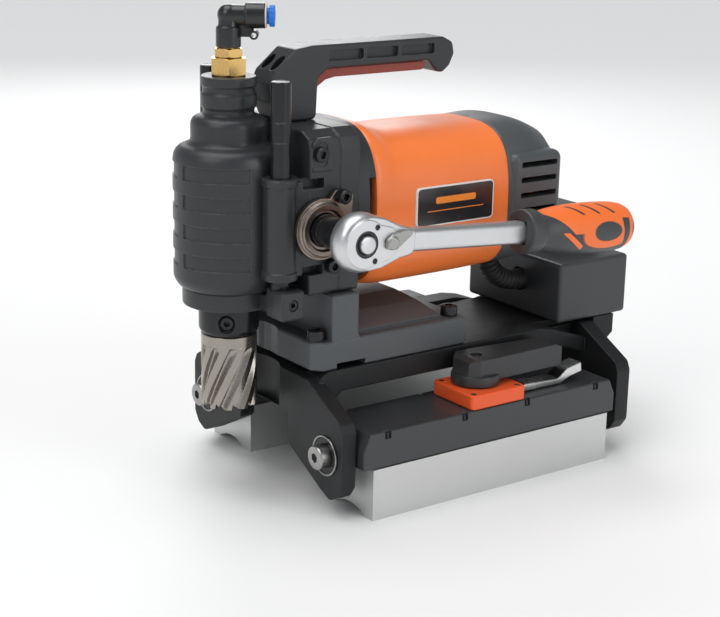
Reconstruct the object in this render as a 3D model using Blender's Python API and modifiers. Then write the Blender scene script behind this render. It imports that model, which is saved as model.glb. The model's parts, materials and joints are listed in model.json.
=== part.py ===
"""Low-profile magnetic drill press with two swivelling switchable magnets.

The machine is built about its spindle: the spindle axis stands at x = 0, y = 0
of the build frame, +Y runs to the rear and the magnets' undersides lie at z = 0.
A root empty then moves everything so that the middle of the footprint of the
bounding box is the world's origin.
"""
import math

import bmesh
import bpy
from mathutils import Matrix, Vector

# ---------------------------------------------------------------- dimensions (m)
CENTRE_SHIFT = (-0.00585, -0.12370, 0.0)   # brings the middle of the bounding box to the origin
GAP = 0.0003                 # clearance between neighbouring pieces

PIVOT_X = 0.065              # magnet pivot axes, either side
PIVOT_Z = 0.0367
MAGNET_WIDTH = 0.044
MAGNET_FRONT = 0.042
MAGNET_REAR = 0.223
MAGNET_TOP = 0.0307
COVER_FRONT = 0.0355
COVER_REAR = 0.2285
COVER_TOP = 0.0523
SWITCH_Y = 0.1325            # axis of the magnet's switch lever
EAR_X = 0.081                # outer sides of the saddle's ears
EAR_FRONT = 0.024
EAR_BACK = 0.034
REAR_EAR_FRONT = 0.236
REAR_EAR_BACK = 0.247

BASE_HALF = 0.050
BASE_BOTTOM = 0.0806
BASE_TOP = 0.0975
BASE_FRONT = 0.027
BASE_REAR = 0.1375
COLUMN_TOP = 0.1245
BASE_SCREW_X = 0.0410
BASE_SCREW_Y = (0.0330, 0.1300)

BARREL_RADIUS = 0.0316
BARREL_BOTTOM = 0.1268
NECK_TOP = 0.246
QUILL_RADIUS = 0.0220
QUILL_BORE = 0.0226
ROD_X = 0.0375
ROD_Y = 0.0103
ROD_RADIUS = 0.0057
ROD_TOP = 0.2468
ARBOR_RADIUS = 0.0175
ARBOR_BOTTOM = 0.0985
YOKE_BOTTOM = 0.1157
YOKE_TOP = 0.1264
CUTTER_RADIUS = 0.0159
CUTTER_BOTTOM = 0.0545
FLUTE_TOP = 0.0915

MOTOR_Z = 0.163
MOTOR_FRONT = 0.0710
MOTOR_REAR = 0.1705
CAP_REAR = 0.2195
MOTOR_HALF = 0.0446          # half width of the motor's rounded square section
MOTOR_SQUARE = 3.1           # exponent of that section

FEED_Y = 0.0315
FEED_Z = 0.1640
FEED_FACE_X = 0.0455
WRENCH_IN = 0.0762           # inner and outer faces of the wrench's head
WRENCH_OUT = 0.0904
WRENCH_MID = 0.0833
WRENCH_TILT = math.radians(4.2)

BOX_HALF = 0.045
BOX_FRONT = 0.2165
BOX_REAR = 0.2755
BOX_BOTTOM = 0.0785
BOX_TOP = 0.1175

ELBOW_TURN = 54.0            # degrees, heading of the coolant elbow's arm

# ---------------------------------------------------------------- colours
DARK_GREY = ("dark_grey_paint", (0.060, 0.065, 0.070), 0.50, 0.0)
MID_GREY = ("grey_paint", (0.105, 0.115, 0.122), 0.48, 0.0)
COVER_GREY = ("black_anodised", (0.040, 0.043, 0.046), 0.42, 0.0)
ORANGE = ("orange_plastic", (0.85, 0.16, 0.035), 0.38, 0.0)
RED_ORANGE = ("red_orange_plastic", (0.78, 0.10, 0.03), 0.42, 0.0)
BLACK_PLASTIC = ("black_plastic", (0.028, 0.030, 0.032), 0.45, 0.0)
BLACK_STEEL = ("black_oxide_steel", (0.045, 0.047, 0.050), 0.36, 0.8)
STEEL = ("ground_steel", (0.62, 0.62, 0.60), 0.38, 1.0)
STAINLESS = ("stainless_steel", (0.70, 0.70, 0.69), 0.26, 1.0)
CHROME = ("satin_chrome", (0.80, 0.81, 0.82), 0.22, 1.0)
BRASS = ("brass", (0.80, 0.56, 0.20), 0.27, 1.0)
BRONZE = ("bronze_steel", (0.42, 0.36, 0.30), 0.34, 1.0)
BLUE = ("blue_plastic", (0.02, 0.16, 0.60), 0.35, 0.0)
COPPER = ("winding", (0.62, 0.28, 0.12), 0.40, 0.6)
RUBBER = ("rubber", (0.030, 0.031, 0.033), 0.75, 0.0)
LABEL = ("label_plate", (0.020, 0.020, 0.022), 0.30, 0.0)


# ---------------------------------------------------------------- tools
def clear_scene():
    for obj in list(bpy.data.objects):
        bpy.data.objects.remove(obj, do_unlink=True)
    for mesh in list(bpy.data.meshes):
        bpy.data.meshes.remove(mesh)


def make_collection(name):
    collection = bpy.data.collections.new(name)
    bpy.context.scene.collection.children.link(collection)
    return collection


def take(obj):
    """Move an object made by an operator into the parts collection."""
    for collection in list(obj.users_collection):
        collection.objects.unlink(obj)
    PARTS.objects.link(obj)
    return obj


def clean(mesh, dissolve=False):
    """Weld, optionally merge flat faces, and turn the faces outwards."""
    bm = bmesh.new()
    bm.from_mesh(mesh)
    bmesh.ops.remove_doubles(bm, verts=bm.verts, dist=0.00001)
    if dissolve:
        bmesh.ops.dissolve_limit(bm, angle_limit=0.002, verts=bm.verts, edges=bm.edges)
    bmesh.ops.recalc_face_normals(bm, faces=bm.faces)
    bm.to_mesh(mesh)
    bm.free()


def settle(obj, dissolve=False):
    """Replace an object by its evaluated mesh, in world coordinates."""
    bpy.context.view_layer.update()
    graph = bpy.context.evaluated_depsgraph_get()
    mesh = bpy.data.meshes.new_from_object(obj.evaluated_get(graph))
    mesh.transform(obj.matrix_world)
    name = obj.name
    bpy.data.objects.remove(obj, do_unlink=True)
    fresh = bpy.data.objects.new(name, mesh)
    PARTS.objects.link(fresh)
    clean(mesh, dissolve)
    return fresh


def bevel(obj, width, segments=1, angle=35.0):
    """Round or chamfer the edges sharper than the angle."""
    modifier = obj.modifiers.new("Bevel", 'BEVEL')
    modifier.width = width
    modifier.segments = segments
    modifier.limit_method = 'ANGLE'
    modifier.angle_limit = math.radians(angle)
    modifier.use_clamp_overlap = True
    return settle(obj)


def box(x0, x1, y0, y1, z0, z1, edge=0.0, segments=1):
    """A block between two corners."""
    centre = ((x0 + x1) / 2, (y0 + y1) / 2, (z0 + z1) / 2)
    bpy.ops.mesh.primitive_cube_add(size=1.0, location=centre)
    obj = take(bpy.context.object)
    obj.data.transform(Matrix.Diagonal((abs(x1 - x0), abs(y1 - y0), abs(z1 - z0), 1.0)))
    obj = settle(obj)
    if edge > 0.0:
        obj = bevel(obj, edge, segments)
    return obj


def rod(start, end, radius, sides=20, edge=0.0):
    """A round or many-sided bar between two points."""
    a = Vector(start)
    b = Vector(end)
    turn = (b - a).to_track_quat('Z', 'Y')
    bpy.ops.mesh.primitive_cone_add(
        vertices=sides, radius1=radius, radius2=radius, depth=(b - a).length,
        location=(a + b) / 2, rotation=turn.to_euler())
    obj = settle(take(bpy.context.object))
    if edge > 0.0:
        obj = bevel(obj, edge, 1, 50.0)
    return obj


def axis_matrix(axis):
    """Turns a drawing's u, v, thickness into world directions."""
    if axis == 'X':
        return Matrix(((0, 0, 1, 0), (1, 0, 0, 0), (0, 1, 0, 0), (0, 0, 0, 1)))
    if axis == 'Y':
        return Matrix(((1, 0, 0, 0), (0, 0, -1, 0), (0, 1, 0, 0), (0, 0, 0, 1)))
    return Matrix.Identity(4)


def plate(outline, axis, low, high, edge=0.0, segments=1, angle=35.0):
    """A flat outline given thickness from low to high along an axis.

    The outline is in (y, z) for X, (x, z) for Y and (x, y) for Z.
    """
    curve = bpy.data.curves.new("outline", 'CURVE')
    curve.dimensions = '2D'
    curve.fill_mode = 'BOTH'
    curve.extrude = (high - low) / 2
    spline = curve.splines.new('POLY')
    spline.points.add(len(outline) - 1)
    for point, (u, v) in zip(spline.points, outline):
        point.co = (u, v, 0.0, 1.0)
    spline.use_cyclic_u = True
    obj = bpy.data.objects.new("outline", curve)
    PARTS.objects.link(obj)
    middle = (low + high) / 2
    shift = {'X': (middle, 0, 0), 'Y': (0, middle, 0), 'Z': (0, 0, middle)}[axis]
    obj.matrix_world = Matrix.Translation(shift) @ axis_matrix(axis)
    obj = settle(obj, dissolve=True)
    if edge > 0.0:
        obj = bevel(obj, edge, segments, angle)
    return obj


def turned(profile, origin=(0, 0, 0), axis='Z', steps=48):
    """A profile of (radius, height) turned about an axis, listed top to bottom."""
    mesh = bpy.data.meshes.new("profile")
    points = [(r, 0.0, h) for r, h in profile]
    mesh.from_pydata(points, [(i, i + 1) for i in range(len(points) - 1)], [])
    obj = bpy.data.objects.new("profile", mesh)
    PARTS.objects.link(obj)
    screw = obj.modifiers.new("Screw", 'SCREW')
    screw.angle = math.tau
    screw.steps = steps
    screw.render_steps = steps
    screw.axis = 'Z'
    screw.use_merge_vertices = True
    screw.merge_threshold = 0.00002
    turn = {'Z': Matrix.Identity(4),
            'Y': Matrix.Rotation(-math.pi / 2, 4, 'X'),
            'X': Matrix.Rotation(math.pi / 2, 4, 'Y')}[axis]
    obj.matrix_world = Matrix.Translation(origin) @ turn
    return settle(obj)


def boolean(base, tools, operation):
    for tool in tools:
        modifier = base.modifiers.new("Boolean", 'BOOLEAN')
        modifier.operation = operation
        modifier.solver = 'EXACT'
        modifier.object = tool
        base = settle(base, dissolve=True)
        bpy.data.objects.remove(tool, do_unlink=True)
    return base


def join(base, *tools):
    return boolean(base, tools, 'UNION')


def cut(base, *tools):
    return boolean(base, tools, 'DIFFERENCE')


def moved(obj, matrix):
    obj.data.transform(matrix)
    return obj


def material(entry):
    name, colour, roughness, metallic = entry
    found = bpy.data.materials.get(name)
    if found:
        return found
    fresh = bpy.data.materials.new(name)
    fresh.use_nodes = True
    shader = fresh.node_tree.nodes["Principled BSDF"]
    shader.inputs["Base Color"].default_value = (*colour, 1.0)
    shader.inputs["Roughness"].default_value = roughness
    shader.inputs["Metallic"].default_value = metallic
    fresh.diffuse_color = (*colour, 1.0)
    return fresh


def empty(name, location, parent):
    obj = bpy.data.objects.new(name, None)
    PARTS.objects.link(obj)
    obj.empty_display_size = 0.01
    obj.parent = parent
    obj.location = Vector(location) - world_place(parent)
    PLACES[name] = Vector(location)
    return obj


def world_place(parent):
    return PLACES[parent.name]


def part(name, obj, entry, parent, smooth=35.0):
    """Name a finished piece, give it its material and hang it on its parent."""
    place = world_place(parent)
    obj.data.transform(Matrix.Translation(-place))
    obj.name = name
    obj.data.name = name
    obj.parent = parent
    obj.data.materials.clear()
    obj.data.materials.append(material(entry))
    obj.data.shade_smooth()
    obj.data.set_sharp_from_angle(angle=math.radians(smooth))
    return obj


def arc(cu, cv, radius, start, end, count):
    """Points along an arc, angles in degrees, both ends included."""
    points = []
    for i in range(count + 1):
        angle = math.radians(start + (end - start) * i / count)
        points.append((cu + radius * math.cos(angle), cv + radius * math.sin(angle)))
    return points


def rounded(u0, u1, v0, v1, radius, count=3):
    """A rectangle with rounded corners."""
    points = arc(u1 - radius, v1 - radius, radius, 0, 90, count)
    points += arc(u0 + radius, v1 - radius, radius, 90, 180, count)
    points += arc(u0 + radius, v0 + radius, radius, 180, 270, count)
    points += arc(u1 - radius, v0 + radius, radius, 270, 360, count)
    return points


def cap_screw(centre, direction, radius, height, shank_radius, shank_length):
    """A socket head screw; centre is the underside of its head."""
    origin = Vector(centre)
    out = Vector(direction).normalized()
    head = rod(origin, origin + out * height, radius, 14, radius * 0.10)
    shank = rod(origin - out * shank_length, origin + out * height * 0.4, shank_radius, 8)
    socket = rod(origin + out * height * 0.45, origin + out * height * 1.5, radius * 0.55, 6)
    return cut(join(head, shank), socket)


# ---------------------------------------------------------------- saddle
def front_wall(y0, y1):
    """The cross wall with an ear at each side for a magnet's pivot."""
    half = [(0.0167, 0.0765), (0.0450, 0.0765), (0.0785, 0.0590), (EAR_X, 0.0535),
            (EAR_X, 0.0205), (0.0765, 0.0140)]
    half += arc(0.0685, 0.0185, 0.0080, -50, -125, 4)
    half += [(0.0257, 0.0324), (0.0257, 0.0520)]
    outline = half + [(-x, z) for x, z in reversed(half)]
    return plate(outline, 'Y', y0, y1, 0.0014, 1)


def saddle_frame():
    front = front_wall(EAR_FRONT, EAR_BACK)
    front = cut(front, rod((0, 0, 0.0525), (0, 0, 0.09), 0.0295, 28))
    rear = front_wall(REAR_EAR_FRONT, REAR_EAR_BACK)
    rail = [(0.030, 0.0760), (0.036, 0.0803), (0.197, 0.0803), (0.209, 0.0780),
            (0.2420, 0.0660), (0.2420, 0.0560), (0.2200, 0.0640), (0.205, 0.0668),
            (0.046, 0.0668), (0.038, 0.0600), (0.030, 0.0540)]
    body = join(front, rear)
    for side in (1.0, -1.0):
        strip = plate(rail, 'X', min(side * 0.034, side * 0.050), max(side * 0.034, side * 0.050),
                      0.0012, 1)
        body = join(body, strip)
    deck = box(-0.036, 0.036, 0.030, 0.240, 0.0690, 0.0740)
    window = plate(rounded(-0.022, 0.022, 0.075, 0.125, 0.006), 'Z', 0.060, 0.090)
    body = join(body, cut(deck, window))
    body = cut(body, box(-0.0336, 0.0336, 0.2300, 0.2600, 0.0740, 0.0900))
    for side in (1.0, -1.0):
        for y0, y1 in ((EAR_FRONT - 0.002, EAR_BACK + 0.002),
                       (REAR_EAR_FRONT - 0.002, REAR_EAR_BACK + 0.002)):
            body = cut(body, rod((side * PIVOT_X, y0, PIVOT_Z), (side * PIVOT_X, y1, PIVOT_Z),
                                 0.0052, 12))
    part("saddle_frame", body, DARK_GREY, ROOT)


def pivot_bolts():
    """Flanged bush and socket-head bolt in each ear."""
    for end, face, way in (("front", EAR_FRONT, -1.0), ("rear", REAR_EAR_BACK, 1.0)):
        for side, label in ((1.0, "right"), (-1.0, "left")):
            x = side * PIVOT_X
            ring = rod((x, face + way * 0.0003, PIVOT_Z), (x, face + way * 0.0012, PIVOT_Z),
                       0.0118, 18)
            head = rod((x, face + way * 0.0008, PIVOT_Z), (x, face + way * 0.0078, PIVOT_Z),
                       0.0071, 14, 0.0006)
            reach = 0.0200 if end == "front" else 0.0270
            shank = rod((x, face + way * 0.003, PIVOT_Z), (x, face - way * reach, PIVOT_Z),
                        0.0049, 8)
            socket = rod((x, face + way * 0.0038, PIVOT_Z), (x, face + way * 0.0100, PIVOT_Z),
                         0.0030, 6)
            body = cut(join(ring, head, shank), socket)
            part("pivot_bolt_%s_%s" % (end, label), body, STAINLESS, ROOT)


# ---------------------------------------------------------------- magnets
def magnet_block():
    half = MAGNET_WIDTH / 2
    outline = [(half, 0.0), (half, MAGNET_TOP), (-half, MAGNET_TOP), (-half, 0.0), (-0.015, 0.0)]
    outline += arc(0.0, -0.0228, 0.0273, 123.3, 56.7, 6)
    outline += [(0.015, 0.0)]
    return plate(outline, 'Y', MAGNET_FRONT, MAGNET_REAR, 0.0004, 1)


def magnet_cover():
    """Cover over the magnet, sloping at both ends, with screw notches."""
    z0 = MAGNET_TOP + GAP
    side = [(COVER_FRONT, z0), (COVER_FRONT, 0.0425), (COVER_FRONT + 0.0045, COVER_TOP),
            (COVER_REAR - 0.0045, COVER_TOP), (COVER_REAR, 0.0425), (COVER_REAR, z0)]
    body = plate(side, 'X', -0.0218, 0.0218)
    body = bevel(body, 0.0014, 1, 50.0)
    for y in (0.0520, 0.1080, 0.1560, 0.2120):
        for sign in (1.0, -1.0):
            low = min(sign * 0.0195, sign * 0.0230)
            high = max(sign * 0.0195, sign * 0.0230)
            body = cut(body, box(low, high, y - 0.0022, y + 0.0022, 0.0478, 0.0540))
    for y0, y1 in ((COVER_FRONT - 0.002, COVER_FRONT + 0.010),
                   (COVER_REAR - 0.010, COVER_REAR + 0.002)):
        body = cut(body, rod((0, y0, PIVOT_Z), (0, y1, PIVOT_Z), 0.0053, 10))
    return body


def switch_base():
    body = plate(rounded(-0.0165, 0.0218, 0.1130, 0.1545, 0.0030, 2), 'Z',
                 COVER_TOP + GAP, COVER_TOP + 0.0090)
    body = bevel(body, 0.0008, 1, 60.0)
    return cut(body, rod((0.0005, SWITCH_Y, COVER_TOP - 0.002), (0.0005, SWITCH_Y, 0.070), 0.0066, 14))


def switch_lever():
    """Round hub with a long arm that points to the rear, and its spindle."""
    z0 = COVER_TOP + 0.0094
    hub = turned([(0.0, z0 + 0.0068), (0.0138, z0 + 0.0066), (0.0148, z0 + 0.0055),
                  (0.0150, z0), (0.0, z0)], (0.0, 0.0, 0.0), 'Z', 22)
    stem = rod((0, 0, COVER_TOP + 0.0008), (0, 0, z0 + 0.003), 0.0062, 10)
    side = [(-0.0135, z0 + 0.003), (-0.0115, z0 + 0.0150), (-0.0070, z0 + 0.0168),
            (0.0560, z0 + 0.0160), (0.0620, z0 + 0.0135), (0.0622, z0 + 0.0020),
            (0.0150, z0 + 0.0030)]
    arm = plate(side, 'X', -0.0130, 0.0130)
    top = [(-0.0070, -0.0125), (0.0070, -0.0125), (0.0118, -0.0060), (0.0118, 0.0080),
           (0.0082, 0.0630), (-0.0082, 0.0630), (-0.0118, 0.0080), (-0.0118, -0.0060)]
    limit = plate(top, 'Z', z0 - 0.01, z0 + 0.03)
    arm = boolean(arm, [limit], 'INTERSECT')
    arm = bevel(arm, 0.0010, 1, 40.0)
    body = join(hub, arm, stem)
    pocket = rod((0, 0, z0 + 0.0145), (0, 0, z0 + 0.03), 0.0036, 10)
    screw = rod((0, 0, z0 + 0.0135), (0, 0, z0 + 0.0158), 0.0029, 8)
    socket = rod((0, 0, z0 + 0.0150), (0, 0, z0 + 0.02), 0.0015, 6)
    body = cut(join(cut(body, pocket), screw), socket)
    return moved(body, Matrix.Translation((0.0005, SWITCH_Y, 0.0)))


def latch_strip():
    """Bent spring strip behind the switch with a raised tab."""
    z = COVER_TOP + 0.0006
    side = [(0.1535, z), (0.1535, z + 0.0035), (0.1560, z + 0.0048), (0.1830, z + 0.0034),
            (0.1905, z + 0.0090), (0.2015, z + 0.0110), (0.2022, z + 0.0050),
            (0.1925, z + 0.0032), (0.1850, z)]
    return moved(plate(side, 'X', 0.0010, 0.0120, 0.0004, 1), Matrix.Translation((0, 0.0065, 0)))


def magnet_units():
    for side, label in ((1.0, "right"), (-1.0, "left")):
        centre = Matrix.Translation((side * PIVOT_X, 0.0, 0.0))
        unit = empty("magnet_unit_" + label, (side * PIVOT_X, 0.130, PIVOT_Z), ROOT)
        part("magnet_" + label, moved(magnet_block(), centre), STEEL, unit)
        part("magnet_cover_" + label, moved(magnet_cover(), centre), COVER_GREY, unit)
        flip = Matrix.Scale(side, 4, (1, 0, 0))
        pieces = {"switch_base_": (switch_base(), RED_ORANGE)}
        switch = empty("switch_axis_" + label,
                       (side * (PIVOT_X + 0.0005), SWITCH_Y, COVER_TOP + 0.010), unit)
        latch = empty("latch_axis_" + label,
                      (side * (PIVOT_X + 0.0065), 0.1610, COVER_TOP + 0.0022), unit)
        pieces["switch_lever_"] = (switch_lever(), BLACK_PLASTIC)
        pieces["latch_"] = (latch_strip(), STAINLESS)
        homes = {"switch_base_": unit, "switch_lever_": switch, "latch_": latch}
        for key, (obj, colour) in pieces.items():
            moved(obj, flip)
            if side < 0.0:
                obj.data.flip_normals()
            part(key + label, moved(obj, centre), colour, homes[key])


# ---------------------------------------------------------------- base
def base_casting():
    corner = 0.0055
    outline = [(BASE_HALF - corner, BASE_FRONT), (BASE_HALF, BASE_FRONT + corner),
               (BASE_HALF, BASE_REAR), (-BASE_HALF, BASE_REAR),
               (-BASE_HALF, BASE_FRONT + corner), (-BASE_HALF + corner, BASE_FRONT)]
    body = plate(outline, 'Z', BASE_BOTTOM, BASE_TOP, 0.0010, 1)
    column = plate([(0.0385, 0.0900), (0.0385, COLUMN_TOP), (0.0570, COLUMN_TOP),
                    (0.0570, 0.1000), (0.0590, 0.0960), (0.0600, 0.0900)], 'X',
                   -BASE_HALF + 0.0002, BASE_HALF - 0.0002, 0.0009, 1)
    ridge = plate([(-0.0430, 0.0900), (-0.0430, 0.0995), (-0.0300, 0.1070), (-0.0120, 0.1100),
                   (0.0120, 0.1100), (0.0300, 0.1070), (0.0430, 0.0995), (0.0430, 0.0900)],
                  'Y', 0.0500, 0.1400)
    fall = plate([(0.0500, 0.0900), (0.0500, 0.1200), (0.1000, 0.1200), (0.1215, 0.0995),
                  (0.1215, 0.0900)], 'X', -0.060, 0.060)
    ridge = boolean(ridge, [fall], 'INTERSECT')
    body = join(body, column, ridge)
    body = cut(body, box(-0.06, 0.06, 0.0415, 0.0617, BASE_BOTTOM - 0.002, BASE_BOTTOM + 0.0036))
    body = cut(body, rod((0, 0, 0.070), (0, 0, 0.110), 0.0290, 28))
    for x in (BASE_SCREW_X, -BASE_SCREW_X):
        for y in BASE_SCREW_Y:
            body = cut(body, rod((x, y, 0.086), (x, y, 0.12), 0.0036, 10))
    part("base_casting", body, MID_GREY, ROOT)


def base_screws():
    for x, label in ((BASE_SCREW_X, "right"), (-BASE_SCREW_X, "left")):
        for y, end in zip(BASE_SCREW_Y, ("front", "rear")):
            body = cap_screw((x, y, BASE_TOP + GAP), (0, 0, 1), 0.0052, 0.0060, 0.0033, 0.0095)
            part("base_screw_%s_%s" % (end, label), body, BLACK_STEEL, ROOT)


# ---------------------------------------------------------------- gear housing
def barrel():
    """Ribbed barrel, stepped dome and neck, as one turned body."""
    profile = [(0.0, NECK_TOP), (0.0157, NECK_TOP), (0.0157, 0.2408), (0.0146, 0.2400),
               (0.0146, 0.2368), (0.0157, 0.2360), (0.0157, 0.2292), (0.0144, 0.2275),
               (0.0144, 0.2250), (0.0205, 0.2225), (0.0215, 0.2190), (0.0215, 0.2110),
               (0.0235, 0.2075), (0.0285, 0.2055), (BARREL_RADIUS, 0.1995),
               (BARREL_RADIUS, 0.1335), (0.0280, BARREL_BOTTOM), (0.0, BARREL_BOTTOM)]
    return turned(profile, (0, 0, 0), 'Z', 32)


def squircle(half, top, bottom, exponent, count):
    """Points of a rounded square in x and z about the motor's axis."""
    points = []
    for i in range(count):
        angle = math.tau * i / count
        c = math.cos(angle)
        s = math.sin(angle)
        u = math.copysign(abs(c) ** (2 / exponent), c) * half
        v = math.copysign(abs(s) ** (2 / exponent), s) * (top if s > 0 else bottom)
        points.append((u, v))
    return points


def loft(sections, count=40):
    """A closed body through rounded squares, each (y, half width, up, down)."""
    bm = bmesh.new()
    rings = []
    for y, half, top, bottom in sections:
        ring = [bm.verts.new((u, y, MOTOR_Z + v))
                for u, v in squircle(half, top, bottom, MOTOR_SQUARE, count)]
        rings.append(ring)
    for a, b in zip(rings, rings[1:]):
        for i in range(count):
            j = (i + 1) % count
            bm.faces.new((a[i], a[j], b[j], b[i]))
    bm.faces.new(rings[0])
    bm.faces.new(rings[-1])
    bmesh.ops.recalc_face_normals(bm, faces=bm.faces)
    mesh = bpy.data.meshes.new("loft")
    bm.to_mesh(mesh)
    bm.free()
    obj = bpy.data.objects.new("loft", mesh)
    PARTS.objects.link(obj)
    return obj


def gear_housing():
    body = barrel()
    block = [(0.0440, 0.1250), (0.0450, 0.1290), (0.0450, 0.2070), (0.0425, 0.2140),
             (0.0350, 0.2180), (-0.0350, 0.2180), (-0.0425, 0.2140), (-0.0450, 0.2070),
             (-0.0450, 0.1290), (-0.0440, 0.1250)]
    main = plate(block, 'Y', 0.0250, 0.0600, 0.0010, 1)
    flange = loft([(0.0576, 0.0462, 0.0545, 0.0390), (MOTOR_FRONT - GAP, 0.0462, 0.0545, 0.0390)], 28)
    body = join(body, main, flange)
    for side in (1.0, -1.0):
        x = side * ROD_X
        boss = turned([(0.0, 0.1935), (0.0100, 0.1932), (0.0100, 0.1895), (0.0092, 0.1885),
                       (0.0092, 0.1410), (0.0100, 0.1400), (0.0100, 0.1360), (0.0, 0.1360)],
                      (x, ROD_Y, 0), 'Z', 16)
        rib = box(min(side * 0.022, side * 0.0445), max(side * 0.022, side * 0.0445),
                  0.0100, 0.0300, 0.1375, 0.1915)
        body = join(body, boss, rib)
    for side in (1.0, -1.0):
        for z0, z1 in ((0.1868, 0.1925), (0.1372, 0.1430)):
            low = min(side * 0.0385, side * 0.0500)
            high = max(side * 0.0385, side * 0.0500)
            body = cut(body, box(low, high, 0.0215, 0.0345, z0, z1))
        low = min(side * 0.0400, side * 0.0600)
        high = max(side * 0.0400, side * 0.0600)
        body = cut(body, box(low, high, 0.0655, 0.0760, 0.1620, 0.1890))
        x0 = side * ROD_X
        body = cut(body, rod((x0, ROD_Y, 0.11), (x0, ROD_Y, 0.21), ROD_RADIUS + GAP, 16))
    bore = turned([(0.0, 0.2020), (QUILL_BORE, 0.2020), (QUILL_BORE, 0.10), (0.0, 0.10)],
                  (0, 0, 0), 'Z', 24)
    body = cut(body, bore)
    body = cut(body, rod((0, 0, 0.20), (0, 0, 0.26), 0.0062, 12))
    body = cut(body, rod((0, 0.0400, MOTOR_Z), (0, 0.09, MOTOR_Z), 0.0075, 12))
    body = cut(body, rod((-0.070, FEED_Y, FEED_Z), (0.070, FEED_Y, FEED_Z), 0.0078, 16))
    body = cut(body, rod((0, 0, 0.1200), (0, 0, YOKE_TOP + GAP), 0.0273, 24))
    part("gear_housing", body, DARK_GREY, ROOT)


def feed_flange():
    """Stepped bearing plate of the feed shaft, held by two socket screws."""
    x0 = FEED_FACE_X + GAP
    outline = arc(FEED_Y, FEED_Z, 0.0175, 75, 345, 16)
    outline += [(FEED_Y + 0.0195, FEED_Z + 0.0060), (FEED_Y + 0.0203, FEED_Z + 0.0175),
                (FEED_Y + 0.0150, FEED_Z + 0.0210), (FEED_Y + 0.0070, FEED_Z + 0.0215)]
    body = plate(outline, 'X', x0, x0 + 0.0030, 0.0005, 1)
    ring = rod((x0 + 0.001, FEED_Y, FEED_Z), (x0 + 0.0062, FEED_Y, FEED_Z), 0.0152, 24, 0.0007)
    body = join(body, ring)
    body = cut(body, rod((x0 - 0.01, FEED_Y, FEED_Z), (x0 + 0.02, FEED_Y, FEED_Z), 0.0098, 18))
    part("feed_flange", body, BRONZE, ROOT)


def feed_screws():
    for name, y, z in (("upper", FEED_Y + 0.0122, FEED_Z + 0.0178),
                       ("lower", FEED_Y + 0.0075, FEED_Z - 0.0222)):
        x0 = FEED_FACE_X + GAP + (0.0030 if name == "upper" else 0.0) + GAP
        body = cap_screw((x0, y, z), (1, 0, 0), 0.0042, 0.0045, 0.0022, 0.0002)
        part("feed_screw_" + name, body, BLACK_STEEL, ROOT)


def housing_screw():
    """Socket screws on the shoulders of the gear housing."""
    for side, label in ((1.0, "right"), (-1.0, "left")):
        body = cap_screw((side * 0.0453, 0.0310, 0.2060), (side, 0, 0), 0.0043, 0.0036, 0.002, 0.0001)
        part("housing_screw_" + label, body, BLACK_STEEL, ROOT)


# ---------------------------------------------------------------- quill and spindle
def quill():
    axis = empty("quill_axis", (0, 0, YOKE_BOTTOM), ROOT)
    sleeve = turned([(0.0130, 0.2000), (QUILL_RADIUS, 0.2000), (QUILL_RADIUS, YOKE_BOTTOM + GAP),
                     (0.0130, YOKE_BOTTOM + GAP), (0.0130, 0.2000)], (0, 0, 0), 'Z', 24)
    part("quill_sleeve", sleeve, STEEL, axis)
    ring = rod((0, 0, YOKE_BOTTOM), (0, 0, YOKE_TOP), 0.0267, 28, 0.0012)
    for side in (1.0, -1.0):
        low = min(side * 0.0180, side * 0.0470)
        high = max(side * 0.0180, side * 0.0470)
        ear = box(low, high, 0.0051, 0.0179, 0.1163, YOKE_TOP - 0.0009)
        low = min(side * 0.0325, side * 0.0500)
        high = max(side * 0.0325, side * 0.0500)
        block = box(low, high, 0.0040, 0.0190, 0.1142, 0.1310, 0.0010)
        ring = join(ring, ear, block)
    ring = cut(ring, rod((0, 0, 0.100), (0, 0, 0.140), QUILL_RADIUS + GAP, 24))
    for side in (1.0, -1.0):
        x = side * ROD_X
        ring = cut(ring, rod((x, ROD_Y, 0.10), (x, ROD_Y, 0.14), ROD_RADIUS + GAP, 16))
        ring = cut(ring, rod((side * 0.0440, ROD_Y + 0.0012, 0.1230), (side * 0.06, ROD_Y + 0.0012, 0.1230),
                             0.0034, 10))
    part("feed_yoke", ring, DARK_GREY, axis)
    for side, label in ((1.0, "right"), (-1.0, "left")):
        bar = rod((side * ROD_X, ROD_Y, 0.1142), (side * ROD_X, ROD_Y, ROD_TOP), ROD_RADIUS, 16, 0.0007)
        part("guide_rod_" + label, bar, BLACK_STEEL, axis)
        grub = rod((side * 0.0443, ROD_Y + 0.0012, 0.1230), (side * 0.0494, ROD_Y + 0.0012, 0.1230),
                   0.0031, 10)
        grub = cut(grub, rod((side * 0.0470, ROD_Y + 0.0012, 0.1230), (side * 0.06, ROD_Y + 0.0012, 0.1230),
                             0.0017, 6))
        part("yoke_screw_" + label, grub, BLACK_STEEL, axis)
    return axis


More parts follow.
